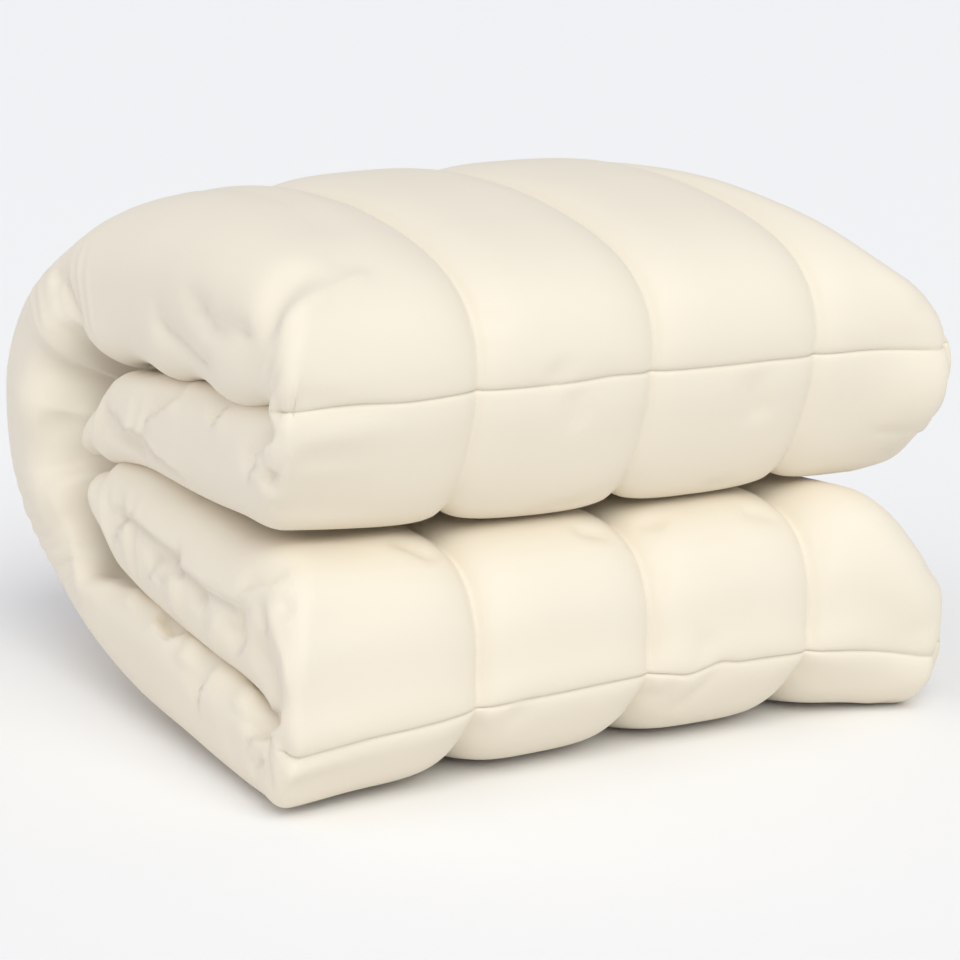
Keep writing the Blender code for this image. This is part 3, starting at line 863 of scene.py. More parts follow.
CREASES = (
    # end A: the upper ply's hem stands proud of the lower ply
    crease(STEP, 0.012, 0.0075, 0.12, ("a_taper", -0.01, -0.016), ("a_back", -0.12, 0.004),
           ("a_back", 0.31, 0.006), ("a_mid", -0.38, 0.017), ("a_mid", 0.12, 0.025)),
    crease(TROUGH, 0.008, 0.0060, 0.2, ("a_taper", -0.1, 0.000), ("a_back", -0.25, 0.016),
           ("a_back", 0.3, 0.028)),
    # its side
    crease(STEP, 0.020, 0.0085, 0.2, ("a_mid", 0.06, -0.035), ("a_back", 0.43, -0.008),
           ("a_back", 0.43, 0.001)),
    crease(STEP, 0.014, 0.0060, 0.3, ("a_front", 0.19, -0.043), ("a_front", -0.15, -0.019)),
    crease(STEP, 0.016, 0.0100, 0.25, ("u_under", 0.40, 0.009), ("u_low", -0.02, -0.007),
           ("a_nose", 0.50, 0.0), ("a_nose", 0.1, 0.010)),
    crease(TROUGH, 0.006, 0.0060, 0.3, ("u_under", -0.25, 0.014), ("u_low", 0.13, 0.022)),
    crease(EDGE, 0.008, 0.0030, 0.35, ("u_under", -0.45, 0.018), ("u_under", 0.33, 0.020),
           ("u_low", 0.27, 0.029), ("a_nose", 0.31, 0.029)),
    # top roll: the fold that runs into the front corner
    crease(EDGE, 0.010, 0.0055, 0.25, ("u_high", -0.30, 0.018), ("u_high", 0.02, 0.033),
           ("u_high", 0.18, 0.050), ("u_high", 0.48, 0.082), ("t_nose", -0.14, 0.122)),
    crease(TROUGH, 0.015, 0.0080, 0.3, ("u_high", 0.02, 0.006), ("u_high", 0.48, 0.020),
           ("t_nose", -0.1, 0.052), ("t_nose", 0.2, 0.085)),
    crease(TUCK, 0.012, 0.0065, 0.25, ("t_mid", -0.21, 0.015), ("t_front", 0.28, 0.009),
           ("t_front", 0.07, 0.0), ("t_nose", 0.2, 0.004), ("u_high", 0.45, 0.004)),
    crease(TUCK, 0.012, 0.0070, 0.25, ("t_mid", 0.4, 0.0), ("t_mid", 0.08, -0.016),
           ("t_front", 0.35, -0.033), ("t_front", -0.24, -0.028)),
    # where the top roll passes into the back fold
    crease(TUCK, 0.013, 0.0090, 0.2, ("c_high", -0.10, 0.024), ("c_high", -0.48, 0.013),
           ("c_crown", 0.34, -0.018), ("c_crown", 0.45, -0.060)),
    # back fold
    crease(TUCK, 0.010, 0.0060, 0.3, ("c_low", 0.19, -0.060), ("c_low", -0.08, -0.110)),
    crease(TROUGH, 0.016, 0.0070, 0.3, ("c_mid", -0.3, -0.080), ("c_mid", -0.42, -0.120)),
    crease(EDGE, 0.010, 0.0060, 0.15, ("c_low", 0.26, -0.074), ("c_heel", -0.47, -0.045),
           ("g_back", -0.43, -0.014), ("g_back", -0.03, -0.040), ("g_rear", -0.19, -0.054)),
    # end B: its upper edge, and the hollows and bulges below it
    crease(STEP, 0.011, 0.0065, 0.12, ("b_taper", -0.11, 0.012), ("b_back", 0.18, 0.017),
           ("b_back", -0.38, 0.019), ("b_mid", 0.12, 0.018), ("b_mid", -0.31, 0.014),
           ("b_front", 0.11, 0.013), ("b_nose", 0.39, 0.013), ("b_nose", -0.21, 0.018)),
    crease(STEP, 0.016, 0.0085, 0.3, ("b_back", 0.09, 0.018), ("b_taper", -0.11, -0.015)),
    crease(STEP, 0.016, 0.0110, 0.2, ("b_mid", -0.38, 0.007), ("b_back", -0.38, -0.017)),
    crease(TROUGH, 0.011, 0.0080, 0.25, ("b_front", 0.19, 0.007), ("b_front", 0.26, -0.012)),
    crease(TROUGH, 0.014, 0.0110, 0.25, ("b_nose", 0.30, 0.002), ("b_nose", -0.15, -0.026)),
    crease(RIDGE, 0.010, 0.0040, 0.3, ("b_mid", -0.25, 0.002), ("b_mid", -0.05, -0.034)),
    crease(RIDGE, 0.010, 0.0045, 0.3, ("b_front", -0.45, 0.0), ("b_front", -0.15, -0.036)),
    crease(TROUGH, 0.014, 0.0070, 0.3, ("b_nose", -0.33, -0.010), ("l_high", -0.17, -0.014),
           ("l_rise", 0.22, -0.018), ("l_over", 0.25, -0.010)),
    # the front edge of the lower fold and the flap over it
    crease(EDGE, 0.008, 0.0040, 0.25, ("l_high", 0.47, 0.036), ("l_high", 0.0, 0.024),
           ("l_rise", 0.0, 0.020), ("l_over", 0.25, 0.016)),
    crease(STEP, 0.014, 0.0045, 0.3, ("l_high", 0.25, 0.052), ("b_nose", -0.21, 0.037),
           ("b_nose", 0.21, 0.019)),
    crease(TROUGH, 0.006, 0.0035, 0.3, ("l_high", -0.03, 0.043), ("l_high", -0.29, 0.037)),
    crease(TUCK, 0.008, 0.0050, 0.3, ("b_nose", -0.33, 0.023), ("l_high", 0.2, 0.016),
           ("l_high", -0.03, 0.008)),
    # bottom layer: hollows below end B, with bulges between them
    crease(STEP, 0.015, 0.0105, 0.2, ("g_mid", 0.01, -0.054), ("g_mid", -0.17, -0.040),
           ("g_rear", 0.32, -0.048)),
    crease(STEP, 0.024, 0.0085, 0.4, ("g_front", -0.16, -0.056), ("g_front", -0.27, -0.028),
           ("g_front", -0.42, 0.002)),
    crease(STEP, 0.015, 0.0105, 0.25, ("l_over", -0.15, 0.004), ("g_nose", 0.36, -0.021),
           ("g_nose", -0.17, -0.012)),
    crease(RIDGE, 0.014, 0.0040, 0.3, ("g_rear", -0.31, -0.060), ("g_rear", -0.31, -0.034)),
    crease(RIDGE, 0.014, 0.0060, 0.3, ("g_mid", 0.25, -0.060), ("g_mid", 0.25, -0.030)),
    crease(RIDGE, 0.014, 0.0060, 0.3, ("g_nose", -0.42, -0.058), ("g_nose", -0.42, -0.028)),
    crease(TUCK, 0.009, 0.0050, 0.3, ("l_low", -0.11, -0.014), ("g_nose", -0.17, 0.011)),
    # faint puckers of the smooth front
    crease(TROUGH, 0.012, 0.0025, 0.4, ("u_high", -0.14, 0.200), ("u_over", 0.2, 0.190)),
    crease(TROUGH, 0.010, 0.0025, 0.3, ("u_seam", 0.45, 0.228), ("u_seam", 0.08, 0.236)),
    crease(TROUGH, 0.010, 0.0025, 0.3, ("u_seam", -0.10, 0.240), ("u_under", 0.25, 0.256)),
    crease(TROUGH, 0.014, 0.0030, 0.3, ("u_seam", -0.09, 0.405), ("u_under", -0.12, 0.429)),
    crease(TUCK, 0.005, 0.0020, 0.3, ("a_nose", 0.5, 0.240), ("u_low", -0.33, 0.289),
           ("a_nose", 0.6, 0.335)),
    crease(TUCK, 0.005, 0.0020, 0.3, ("a_nose", 0.55, 0.405), ("a_nose", 0.6, 0.440)),
    crease(TUCK, 0.005, 0.0020, 0.3, ("u_under", -0.45, 0.545), ("u_under", -0.37, 0.585)),
    crease(TROUGH, 0.010, 0.0045, 0.3, ("b_nose", 0.02, 0.150), ("l_high", 0.25, 0.174)),
    crease(TROUGH, 0.010, 0.0045, 0.3, ("b_nose", -0.33, 0.300), ("l_high", 0.30, 0.335)),
    crease(TROUGH, 0.009, 0.0035, 0.3, ("b_nose", -0.21, 0.368), ("l_high", 0.35, 0.388)),
    crease(TROUGH, 0.009, 0.0035, 0.3, ("l_high", 0.40, 0.455), ("l_high", 0.20, 0.490)),
    crease(TUCK, 0.009, 0.0040, 0.3, ("l_seam", -0.04, 0.374), ("l_low", 0.43, 0.366)),
    crease(TUCK, 0.008, 0.0030, 0.3, ("l_seam", -0.15, 0.345), ("l_under", -0.20, 0.340)),
    crease(TROUGH, 0.012, 0.0030, 0.4, ("l_seam", 0.20, 0.356), ("l_over", 0.0, 0.388)),
    crease(TROUGH, 0.012, 0.0030, 0.4, ("l_seam", -0.10, 0.190), ("l_under", 0.10, 0.215)),
    # and of the side hems
    *(crease(TROUGH, 0.010, 0.0030, 0.3, *hem_pucker(number, row.name))
      for number, row in enumerate(SECTION)),
)


# ------------------------------------------------------------------ letting the cloth settle
def cubic_weights(known: Array, wanted: Array) -> Array:
    """Matrix that reads values at the wanted places from those at the known ones.

    Each value follows the cubic through its four neighbours in index space, with slopes of
    half the difference between neighbours.
    """
    position = np.interp(wanted, known, np.arange(len(known)))
    index = np.clip(np.floor(position).astype(int), 0, len(known) - 2)
    t = position - index
    weights = (
        (-t + 2 * t**2 - t**3) / 2,
        (2 - 5 * t**2 + 3 * t**3) / 2,
        (t + 4 * t**2 - 3 * t**3) / 2,
        (t**3 - t**2) / 2,
    )
    matrix = np.zeros((len(wanted), len(known)))
    rows = np.arange(len(wanted))
    for offset, weight in zip((-1, 0, 1, 2), weights):
        np.add.at(matrix, (rows, np.clip(index + offset, 0, len(known) - 1)), weight)
    return matrix


def neighbourhood_mean(values: Array, reach: int) -> Array:
    """Mean over a square of cells round each grid point, its edge values repeated."""
    for axis in (0, 1):
        pad = [(0, 0)] * values.ndim
        pad[axis] = (reach + 1, reach)
        total = np.cumsum(np.pad(values, pad, mode="edge"), axis=axis)
        size = values.shape[axis]
        upper = np.take(total, np.arange(2 * reach + 1, 2 * reach + 1 + size), axis=axis)
        lower = np.take(total, np.arange(size), axis=axis)
        values = (upper - lower) / (2 * reach + 1)
    return values


@dataclass
class Cover:
    """The cover's cloth as an open sheet of cloth points, from the inner to the outer hem."""

    points: Array                    # (stations, columns, 3) where the cloth starts
    normals: Array
    spare_along: Array               # spare length along the ribbon, as a share
    spare_across: Array
    held: Array                      # 1 where the cloth is free to move, 0 where it is sewn
    room_out: Array
    room_in: float
    cut_along: Array = field(init=False)
    cut_across: Array = field(init=False)
    cut_down: Array = field(init=False)
    cut_up: Array = field(init=False)

    def __post_init__(self) -> None:
        """Work out the lengths that the cloth is cut to."""
        x, along, across = self.points, self.spare_along, self.spare_across
        grown = (2 + along[1:, 1:] + across[1:, 1:]) / 2
        self.cut_along = np.linalg.norm(x[1:] - x[:-1], axis=-1) * (1 + along[1:])
        self.cut_across = np.linalg.norm(x[:, 1:] - x[:, :-1], axis=-1) * (1 + across[:, 1:])
        self.cut_down = np.linalg.norm(x[1:, 1:] - x[:-1, :-1], axis=-1) * grown
        self.cut_up = np.linalg.norm(x[:-1, 1:] - x[1:, :-1], axis=-1) * grown

    def pull(self, x: Array, first: tuple, second: tuple, cut: Array, strength: float) -> None:
        """Move pairs of neighbours to the distance that they are cut to."""
        a, b = x[first], x[second]
        gap = b - a
        length = np.sqrt(np.einsum("ijk,ijk->ij", gap, gap)) + 1e-9
        shift = gap * (0.5 * strength * (length - cut) / length)[..., None]
        x[first] += shift * self.held[first][..., None]
        x[second] -= shift * self.held[second][..., None]

    def tighten(self, x: Array, shear: float) -> None:
        """One pass over every pair along, across and on both diagonals, in turns."""
        every = slice(None)
        for odd in (0, 1):
            low, high = slice(odd, -1, 2), slice(odd + 1, None, 2)
            self.pull(x, (low, every), (high, every), self.cut_along[odd::2], 1.0)
            self.pull(x, (every, low), (every, high), self.cut_across[:, odd::2], 1.0)
            left, right = slice(None, -1), slice(1, None)
            self.pull(x, (low, left), (high, right), self.cut_down[odd::2], shear)
            self.pull(x, (low, right), (high, left), self.cut_up[odd::2], shear)

    def settle(self, start: Array, rounds: int, stiffness: float, filling: float = 0.3,
               reach: int = 4, drag: float = 0.03, shear: float = 0.35,
               slide: float = 0.008) -> Array:
        """Let the spare cloth buckle until it hangs in its own folds.

        Each round the cloth is pulled to its cut lengths, smoothed by its stiffness, held
        back by the filling under it and kept inside the room it has.

        Args:
            start: shift of every point to start from.
            rounds: number of rounds.
            stiffness: share by which a point's shift moves to its neighbours' mean.
            filling: share of the neighbourhood's mean shift that the filling takes back.
            reach: half the size of that neighbourhood, in cells.
            drag: share of the shift along the surface that friction takes back.
            shear: resistance on the diagonals, from 0 to 1.
            slide: farthest that a point may shift along the surface, in metres.

        Returns:
            The shift of every point.
        """
        x = self.points + start
        free = self.held[..., None]
        for _ in range(rounds):
            self.tighten(x, shear)
            shift = x - self.points
            mean = shift.copy()
            mean[1:-1, 1:-1] = (shift[:-2, 1:-1] + shift[2:, 1:-1]
                                + shift[1:-1, :-2] + shift[1:-1, 2:]) / 4
            shift += stiffness * (mean - shift) * free
            out = np.einsum("ijk,ijk->ij", shift, self.normals)
            sideways = (shift - out[..., None] * self.normals) * (1 - drag)
            out -= filling * neighbourhood_mean(neighbourhood_mean(out, reach), reach)
            out = np.clip(out, -self.room_in, self.room_out)
            x = self.points + np.clip(sideways, -slide, slide) + out[..., None] * self.normals
        return x - self.points


# rates of the ripples along X, Y and Z, in radians a metre
RIPPLES = ((61, 13, 97), (17, 83, -41), (-29, 59, 73), (103, -37, 19),
           (43, 71, -67), (-89, 31, 47), (7, 109, 5), (37, 3, 113))
RIPPLE_PHASE = 2.4                    # from each ripple to the next, in radians
PATCHES = ((31, 9, 0.0), (17, -13, 1.0))   # waves: rates along and across a metre, and phase


@dataclass(frozen=True)
class Room:
    """How far the cloth may move out where another layer lies on it.

    first, last: the rows between which it does; from the first or to the last row of
    SECTION it does right up to the end hem.
    """

    first: str
    last: str
    side: Side
    face: float                      # on the face
    edge: float                      # on the left edge


@dataclass(frozen=True)
class Settling:
    """The cloth simulation: the cover on a coarse grid, with spare cloth, let go."""

    fineness: Fineness = Fineness(along=0.0110, seam=0.0110, across=0.0110, inner_across=0.0120,
                                  edge_steps=6, lip_steps=1, wall_steps=1)
    spare_along: float = 0.008
    spare_across: float = 0.010
    edge_spare: float = 0.060        # more along the left edge, which is gathered
    turn_spare: float = 0.040        # and on the inner side of the tight turns
    seam_spare: float = 0.005        # next to the channel seams
    cross_spare: float = 0.012       # next to the cross seams
    gathered: tuple[float, float] = (0.02, 0.13)   # from the left, all and none of edge_spare
    outer_turn: float = 0.1          # share of turn_spare on the outer side
    seam_reach: float = 0.02         # the seams' spare dies out over this distance
    seam_held: float = 0.022         # the cloth is held up to here by a channel seam,
    cross_held: float = 0.014        # by a cross seam
    edge_held: float = 0.026         # and so much farther by a cross seam at the left edge
    edge_end: tuple[float, float] = (1.0, 1.3)     # places over which that passes
    hem_held: tuple[float, float] = (0.022, 0.010)   # by the side hems
    end_held: tuple[float, float] = (0.004, 0.016)   # and by the end hems
    bends: tuple[float, float] = (0.05, 0.22)      # a turn's tightness is 0 here and 1 there
    open_room: float = 0.012         # how far the cloth may move out where it is free
    inner_room: float = 0.010        # and in
    room_blend: float = 0.6          # rows over which a room ends
    room_edge: float = 0.15          # and the left edge's room passes into the face's
    rooms: tuple[Room, ...] = (
        Room("a_end", "t_back", Side.INNER, 0.002, 0.008),
        Room("g_back", "b_end", Side.INNER, 0.002, 0.008),
        Room("a_end", "a_nose", Side.OUTER, 0.002, 0.007),
        Room("b_nose", "b_end", Side.OUTER, 0.002, 0.007),
    )
    start: float = 0.0040            # height of the ripples it starts from
    rounds: int = 240
    stiffness: float = 0.12

    def sheet(self, outline: Outline) -> tuple[Array, Array]:
        """Columns of the cover in order from the inner to the outer hem.

        Returns:
            Their numbers, and the place of each: below -1 on the inner face, -1 to 1 on
            the left edge and over 1 on the outer face.
        """
        stretches = []
        for zone, sign in ((Zone.INNER_FACE, -1), (Zone.INNER_EDGE, -1), (Zone.OUTER_EDGE, 1),
                           (Zone.OUTER_FACE, 1)):
            columns = np.flatnonzero(outline.mask(zone))
            values = outline.values[columns]
            if zone in (Zone.INNER_FACE, Zone.OUTER_FACE):
                values = 1 + CHANNELS * (values - LEFT) / WIDTH
            stretches.append((columns, sign * values))
        return tuple(np.concatenate(part) for part in zip(*stretches))

    def cover(self, surface: FoldedSurface, points: Array) -> tuple[Cover, Array]:
        """Cut the cover's cloth for a coarse surface.

        Spare length grows towards the left edge as 1 - smoothstep over 11 cm and in patches,
        towards a seam as exp(-distance / 2 cm), and with the tightness of a turn, most on its
        inner side.

        Returns:
            The cloth and the places of its columns.
        """
        columns, where = self.sheet(surface.outline)
        ribbon = surface.ribbon
        normals = outward_normals(points)[:, columns]
        sheet = points[:, columns]
        x = sheet[..., 0]
        here = ribbon.distance(surface.place)[:, None]
        seam = np.where(np.abs(where)[None, :] > 1, seam_distance(x), FAR)
        cross = np.min([np.abs(surface.from_row(row)) for row in CROSS_SEAMS], axis=0)[:, None]
        cross = np.where(where[None, :] >= 0, cross, FAR)
        near_left = 1 - smoothstep(x, *(LEFT + reach for reach in self.gathered))
        waves = [np.sin(here * along + across * x + phase) for along, across, phase in PATCHES]
        patches = 0.5 + 0.5 * waves[0] * waves[1]
        turn_share = np.where(where < 0, 1.0, self.outer_turn)[None, :]
        spare_along = (self.spare_along + self.edge_spare * near_left * patches
                       + self.turn_spare * self.turning(sheet) * turn_share
                       + self.seam_spare * np.exp(-seam / self.seam_reach))
        spare_across = self.spare_across + self.cross_spare * np.exp(-cross / self.seam_reach)
        at_edge = 1 - smoothstep(where, *self.edge_end)[None, :]
        reach = self.cross_held + self.edge_held * at_edge
        sewn = np.minimum(smoothstep(seam, 0.0, self.seam_held),
                          smoothstep(cross / reach, 0.0, 1.0))
        hems = 1 - smoothstep(x, *(RIGHT - reach for reach in self.hem_held))
        to_end = np.minimum(here, ribbon.length() - here)
        held = sewn * hems * smoothstep(to_end, *self.end_held)
        return Cover(sheet, normals, spare_along, spare_across, held,
                     self.room_out(surface.place, where), self.inner_room), where

    def turning(self, sheet: Array) -> Array:
        """How tightly the ribbon turns, from 0 to 1, by the change of direction a station."""
        step = np.gradient(sheet, axis=0)
        step /= np.linalg.norm(step, axis=-1, keepdims=True)
        bend = np.linalg.norm(np.gradient(step, axis=0), axis=-1)
        return smoothstep(bend, *self.bends)

    def room_out(self, place: Array, where: Array) -> Array:
        """Room to move out at every point of the cover."""
        room = np.full((len(place), len(where)), self.open_room)
        blend = self.room_blend
        from_edge = np.exp(-(np.abs(where) - 1) / self.room_edge)
        for part in self.rooms:
            share = np.ones(len(place))
            if part.first != SECTION[0].name:
                share *= 1 - smoothstep(row_place(part.first) - place, -blend, blend)
            if part.last != SECTION[-1].name:
                share *= 1 - smoothstep(place - row_place(part.last), -blend, blend)
            on_side = part.side.value * where > 0
            limit = np.where(np.abs(where) < 1, part.edge,
                             part.face + (part.edge - part.face) * from_edge)
            limit = self.open_room + (limit[None, :] - self.open_room) * share[:, None]
            room = np.where(on_side[None, :], np.minimum(room, limit), room)
        return room

    def ripples(self, sheet: Array) -> Array:
        """Fixed small ripples that the cloth starts from: a sum of crossed sine waves."""
        waves = np.zeros(sheet.shape[:2])
        for number, rates in enumerate(RIPPLES):
            waves += np.sin(sheet @ np.array(rates, dtype=float) + RIPPLE_PHASE * number)
        return waves / len(RIPPLES)

    def run(self, shape_of: Callable[[FoldedSurface], Array], ribbon: FoldedRibbon,
            surface: FoldedSurface) -> Array:
        """Settle the cover on a coarse grid and read its shift on a fine surface's grid.

        Args:
            shape_of: works out the points of a surface.
            ribbon: the folded ribbon.
            surface: the fine surface.

        Returns:
            The shift of every point of the fine surface.
        """
        distance = graded(ribbon.length(), (), self.fineness.along, self.fineness.along)
        coarse = FoldedSurface(ribbon, Outline(self.fineness), ribbon.place(distance))
        cover, where = self.cover(coarse, shape_of(coarse))
        start = cover.normals * (self.start * self.ripples(cover.points) * cover.held)[..., None]
        shift = cover.settle(start, self.rounds, self.stiffness)
        columns, wanted = self.sheet(surface.outline)
        lengthwise = cubic_weights(distance, ribbon.distance(surface.place))
        crosswise = cubic_weights(where, wanted)
        fine = np.einsum("si,ijk->sjk", lengthwise, shift)
        fine = np.einsum("cj,sjk->sck", crosswise, fine)
        moved = np.zeros((len(surface.place), len(surface.outline.zones), 3))
        moved[:, columns] = fine
        return moved


# ------------------------------------------------------------------ finishes
Inputs = dict[str | int, object]      # a shader node's inputs, by name or number


def feed(material: bpy.types.Material, inputs: Inputs, node: bpy.types.Node | None = None) -> None:
    """Give a shader node's inputs their values, or link them to the sockets given.

    Args:
        material: the material.
        inputs: value or source socket of each input.
        node: the node, or none for the material's surface shader.
    """
    node = node or material.node_tree.nodes["Principled BSDF"]
    for name, value in inputs.items():
        if isinstance(value, bpy.types.NodeSocket):
            material.node_tree.links.new(value, node.inputs[name])
        else:
            node.inputs[name].default_value = value


def add_node(material: bpy.types.Material, kind: str, inputs: Inputs | None = None,
             **settings: object) -> bpy.types.Node:
    """Add a shader node.

    Args:
        material: the material that it belongs to.
        kind: the node's type, without the words ShaderNode.
        inputs: value or source socket of each input.
        settings: the node's own settings, made before its inputs are fed.
    """
    node = material.node_tree.nodes.new(f"ShaderNode{kind}")
    for name, value in settings.items():
        setattr(node, name, value)
    feed(material, inputs or {}, node)
    return node


def plain_material(name: str, inputs: Inputs) -> bpy.types.Material:
    """Make a material from the values of its surface shader."""
    material = bpy.data.materials.new(name)
    material.use_nodes = True
    feed(material, inputs)
    return material


@dataclass(frozen=True)
class CottonSateen:
    """Smooth undyed cotton sateen: a warm cream with a soft sheen and a fine weave."""

    colour: tuple[float, float, float] = (0.832, 0.757, 0.627)
    shade: tuple[float, float, float] = (0.816, 0.737, 0.603)
    mottle: float = 9.0              # scale of the slow change between the two
    roughness: float = 0.62
    gloss: float = 0.35
    sheen: float = 0.12
    sheen_roughness: float = 0.45
    thread: float = 0.00055          # pitch of the weave, in metres
    float_length: float = 2.5        # its pitch the other way, as a share
    weave_depth: float = 0.00004
    weave_strength: float = 0.35
    slub: float = 140.0              # scale of the cloth's soft unevenness over the filling
    slub_depth: float = 0.00015
    slub_strength: float = 0.25

    def material(self) -> bpy.types.Material:
        """Build the node material: two close creams, and a weave over soft slubs."""
        material = plain_material("undyed_cotton_sateen", {
            "Roughness": self.roughness, "Specular IOR Level": self.gloss,
            "Sheen Weight": self.sheen, "Sheen Roughness": self.sheen_roughness})
        place = add_node(material, "TexCoord").outputs["Object"]
        mottle = add_node(material, "TexNoise", {"Vector": place, "Scale": self.mottle,
                                                 "Detail": 3.0})
        tone = add_node(material, "Mix", {"A": (*self.colour, 1.0), "B": (*self.shade, 1.0),
                                          "Factor": mottle.outputs["Fac"]}, data_type="RGBA")
        slub = add_node(material, "TexNoise", {"Vector": place, "Scale": self.slub, "Detail": 2.0})
        uneven = add_node(material, "Bump", {
            "Height": slub.outputs["Fac"], "Strength": self.slub_strength,
            "Distance": self.slub_depth})
        woven = add_node(material, "Bump", {
            "Height": self.weave(material), "Strength": self.weave_strength,
            "Distance": self.weave_depth, "Normal": uneven.outputs["Normal"]})
        feed(material, {"Base Color": tone.outputs["Result"], "Normal": woven.outputs["Normal"]})
        return material

    def weave(self, material: bpy.types.Material) -> bpy.types.NodeSocket:
        """Height of the sateen's threads: two waves crossed on the cloth's own UV map."""
        flat = add_node(material, "UVMap", uv_map="cloth").outputs["UV"]
        heights = {}
        for number, (direction, pitch) in enumerate(
                (("X", self.thread), ("Y", self.thread * self.float_length))):
            wave = add_node(material, "TexWave", {
                "Vector": flat, "Scale": math.tau / 20 / pitch, "Distortion": 0.6},
                bands_direction=direction)
            heights[number] = wave.outputs["Fac"]
        return add_node(material, "Math", heights, operation="MULTIPLY").outputs[0]


@dataclass(frozen=True)
class CottonThread:
    """Undyed sewing thread."""

    colour: tuple[float, float, float] = (0.80, 0.72, 0.58)
    roughness: float = 0.7
    twist: float = 2500.0            # scale of its twist
    twist_depth: float = 0.0001
    twist_strength: float = 0.4

    def material(self) -> bpy.types.Material:
        """Build the node material, with the twist of the thread as a fine bump."""
        material = plain_material("undyed_cotton_thread", {
            "Base Color": (*self.colour, 1.0), "Roughness": self.roughness})
        place = add_node(material, "TexCoord").outputs["Object"]
        twist = add_node(material, "TexNoise", {"Vector": place, "Scale": self.twist})
        bump = add_node(material, "Bump", {
            "Height": twist.outputs["Fac"], "Strength": self.twist_strength,
            "Distance": self.twist_depth})
        feed(material, {"Normal": bump.outputs["Normal"]})
        return material


# ------------------------------------------------------------------ stitches
@dataclass(frozen=True)
class Stitching:
    """Rows of small stitches, their ends sunk in the cloth."""

    pitch: float = 0.0036
    length: float = 0.0028
    width: float = 0.0009
    height: float = 0.0008
    sunk: float = 0.0005             # how much deeper a stitch's ends lie than its middle
    hem_inset: float = 0.0075
    rings: tuple[tuple[float, float], ...] = ((-0.7, 0.8), (0.0, 1.0), (0.7, 0.8))
    corners: int = 6
    thread: CottonThread = field(default_factory=CottonThread)

    def lines(self, surface: FoldedSurface, points: Array) -> list[tuple[Array, Array]]:
        """Points and normals along each sewn line: channels, cross seams and hems."""
        outline, normals = surface.outline, outward_normals(points)
        face = np.flatnonzero(outline.mask(Zone.OUTER_FACE))
        marks = LEFT + np.array([*SEAM_LINES, WIDTH - self.hem_inset])
        columns = face[np.abs(outline.values[face][None, :] - marks[:, None]).argmin(axis=1)]
        length = surface.ribbon.length()
        ends = surface.ribbon.place([self.hem_inset, length - self.hem_inset])
        cross = np.array([*map(row_place, CROSS_SEAMS), *ends])
        rows = np.abs(surface.place[None, :] - cross[:, None]).argmin(axis=1)
        round_edge = np.flatnonzero(outline.mask(Zone.OUTER_EDGE, Zone.OUTER_FACE))
        return ([(points[:, column], normals[:, column]) for column in columns]
                + [(points[row, round_edge], normals[row, round_edge]) for row in rows])

    def frames(self, path: Array, normals: Array) -> tuple[Array, Array]:
        """Middle and (ahead, side, up) directions of each stitch along a line."""
        steps = np.linalg.norm(np.diff(path, axis=0), axis=-1)
        distance = np.concatenate([[0.0], np.cumsum(steps)])
        at = np.arange(self.pitch, distance[-1] - self.pitch, self.pitch)

        def read(values: Array, where: Array) -> Array:
            """Values at distances along the line."""
            return np.stack([np.interp(where, distance, column) for column in values.T], axis=-1)

        ahead = read(path, at + self.length / 2) - read(path, at - self.length / 2)
        ahead /= np.linalg.norm(ahead, axis=-1, keepdims=True)
        side = np.cross(read(normals, at), ahead)
        side /= np.linalg.norm(side, axis=-1, keepdims=True)
        return read(path, at), np.stack([ahead, side, np.cross(ahead, side)], axis=1)

    def stitch(self) -> tuple[Array, Array, Array]:
        """One stitch: its points in (ahead, side, up), its quads and its end triangles."""
        turn = math.tau * np.arange(self.corners) / self.corners
        rings = [np.stack([np.full(self.corners, at * self.length / 2),
                           size * self.width / 2 * np.cos(turn),
                           size * self.height / 2 * np.sin(turn) - self.sunk * at**2], axis=-1)
                 for at, size in self.rings]
        tips = np.array([(-self.length / 2, 0.0, -self.sunk), (self.length / 2, 0.0, -self.sunk)])
        here = np.arange(self.corners)
        after = (here + 1) % self.corners
        quads = [np.stack([here, after, after + self.corners, here + self.corners], axis=-1)
                 + number * self.corners for number in range(len(self.rings) - 1)]
        first = len(self.rings) * self.corners
        last_ring = first - self.corners
        ends = [np.stack([after, here, np.full_like(here, first)], axis=-1),
                np.stack([here, after, np.full_like(here, first + 1)], axis=-1)
                + np.array([last_ring, last_ring, 0])]
        return np.concatenate([*rings, tips]), np.concatenate(quads), np.concatenate(ends)

    def build(self, surface: FoldedSurface, points: Array) -> bpy.types.Object:
        """Make all the stitches as one piece."""
        frames = [self.frames(*line) for line in self.lines(surface, points)]
        middles, turns = (np.concatenate(part) for part in zip(*frames))
        shape, quads, ends = self.stitch()
        corners = middles[:, None, :] + np.einsum("pd,nda->npa", shape, turns)
        first = np.arange(len(middles))[:, None, None] * len(shape)
        faces = [(part[None] + first).reshape(-1, part.shape[1]) for part in (quads, ends)]
        stitches = mesh_object("seam_stitches", corners.reshape(-1, 3), faces)
        stitches.data.materials.append(self.thread.material())
        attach(stitches, "root")
        return stitches


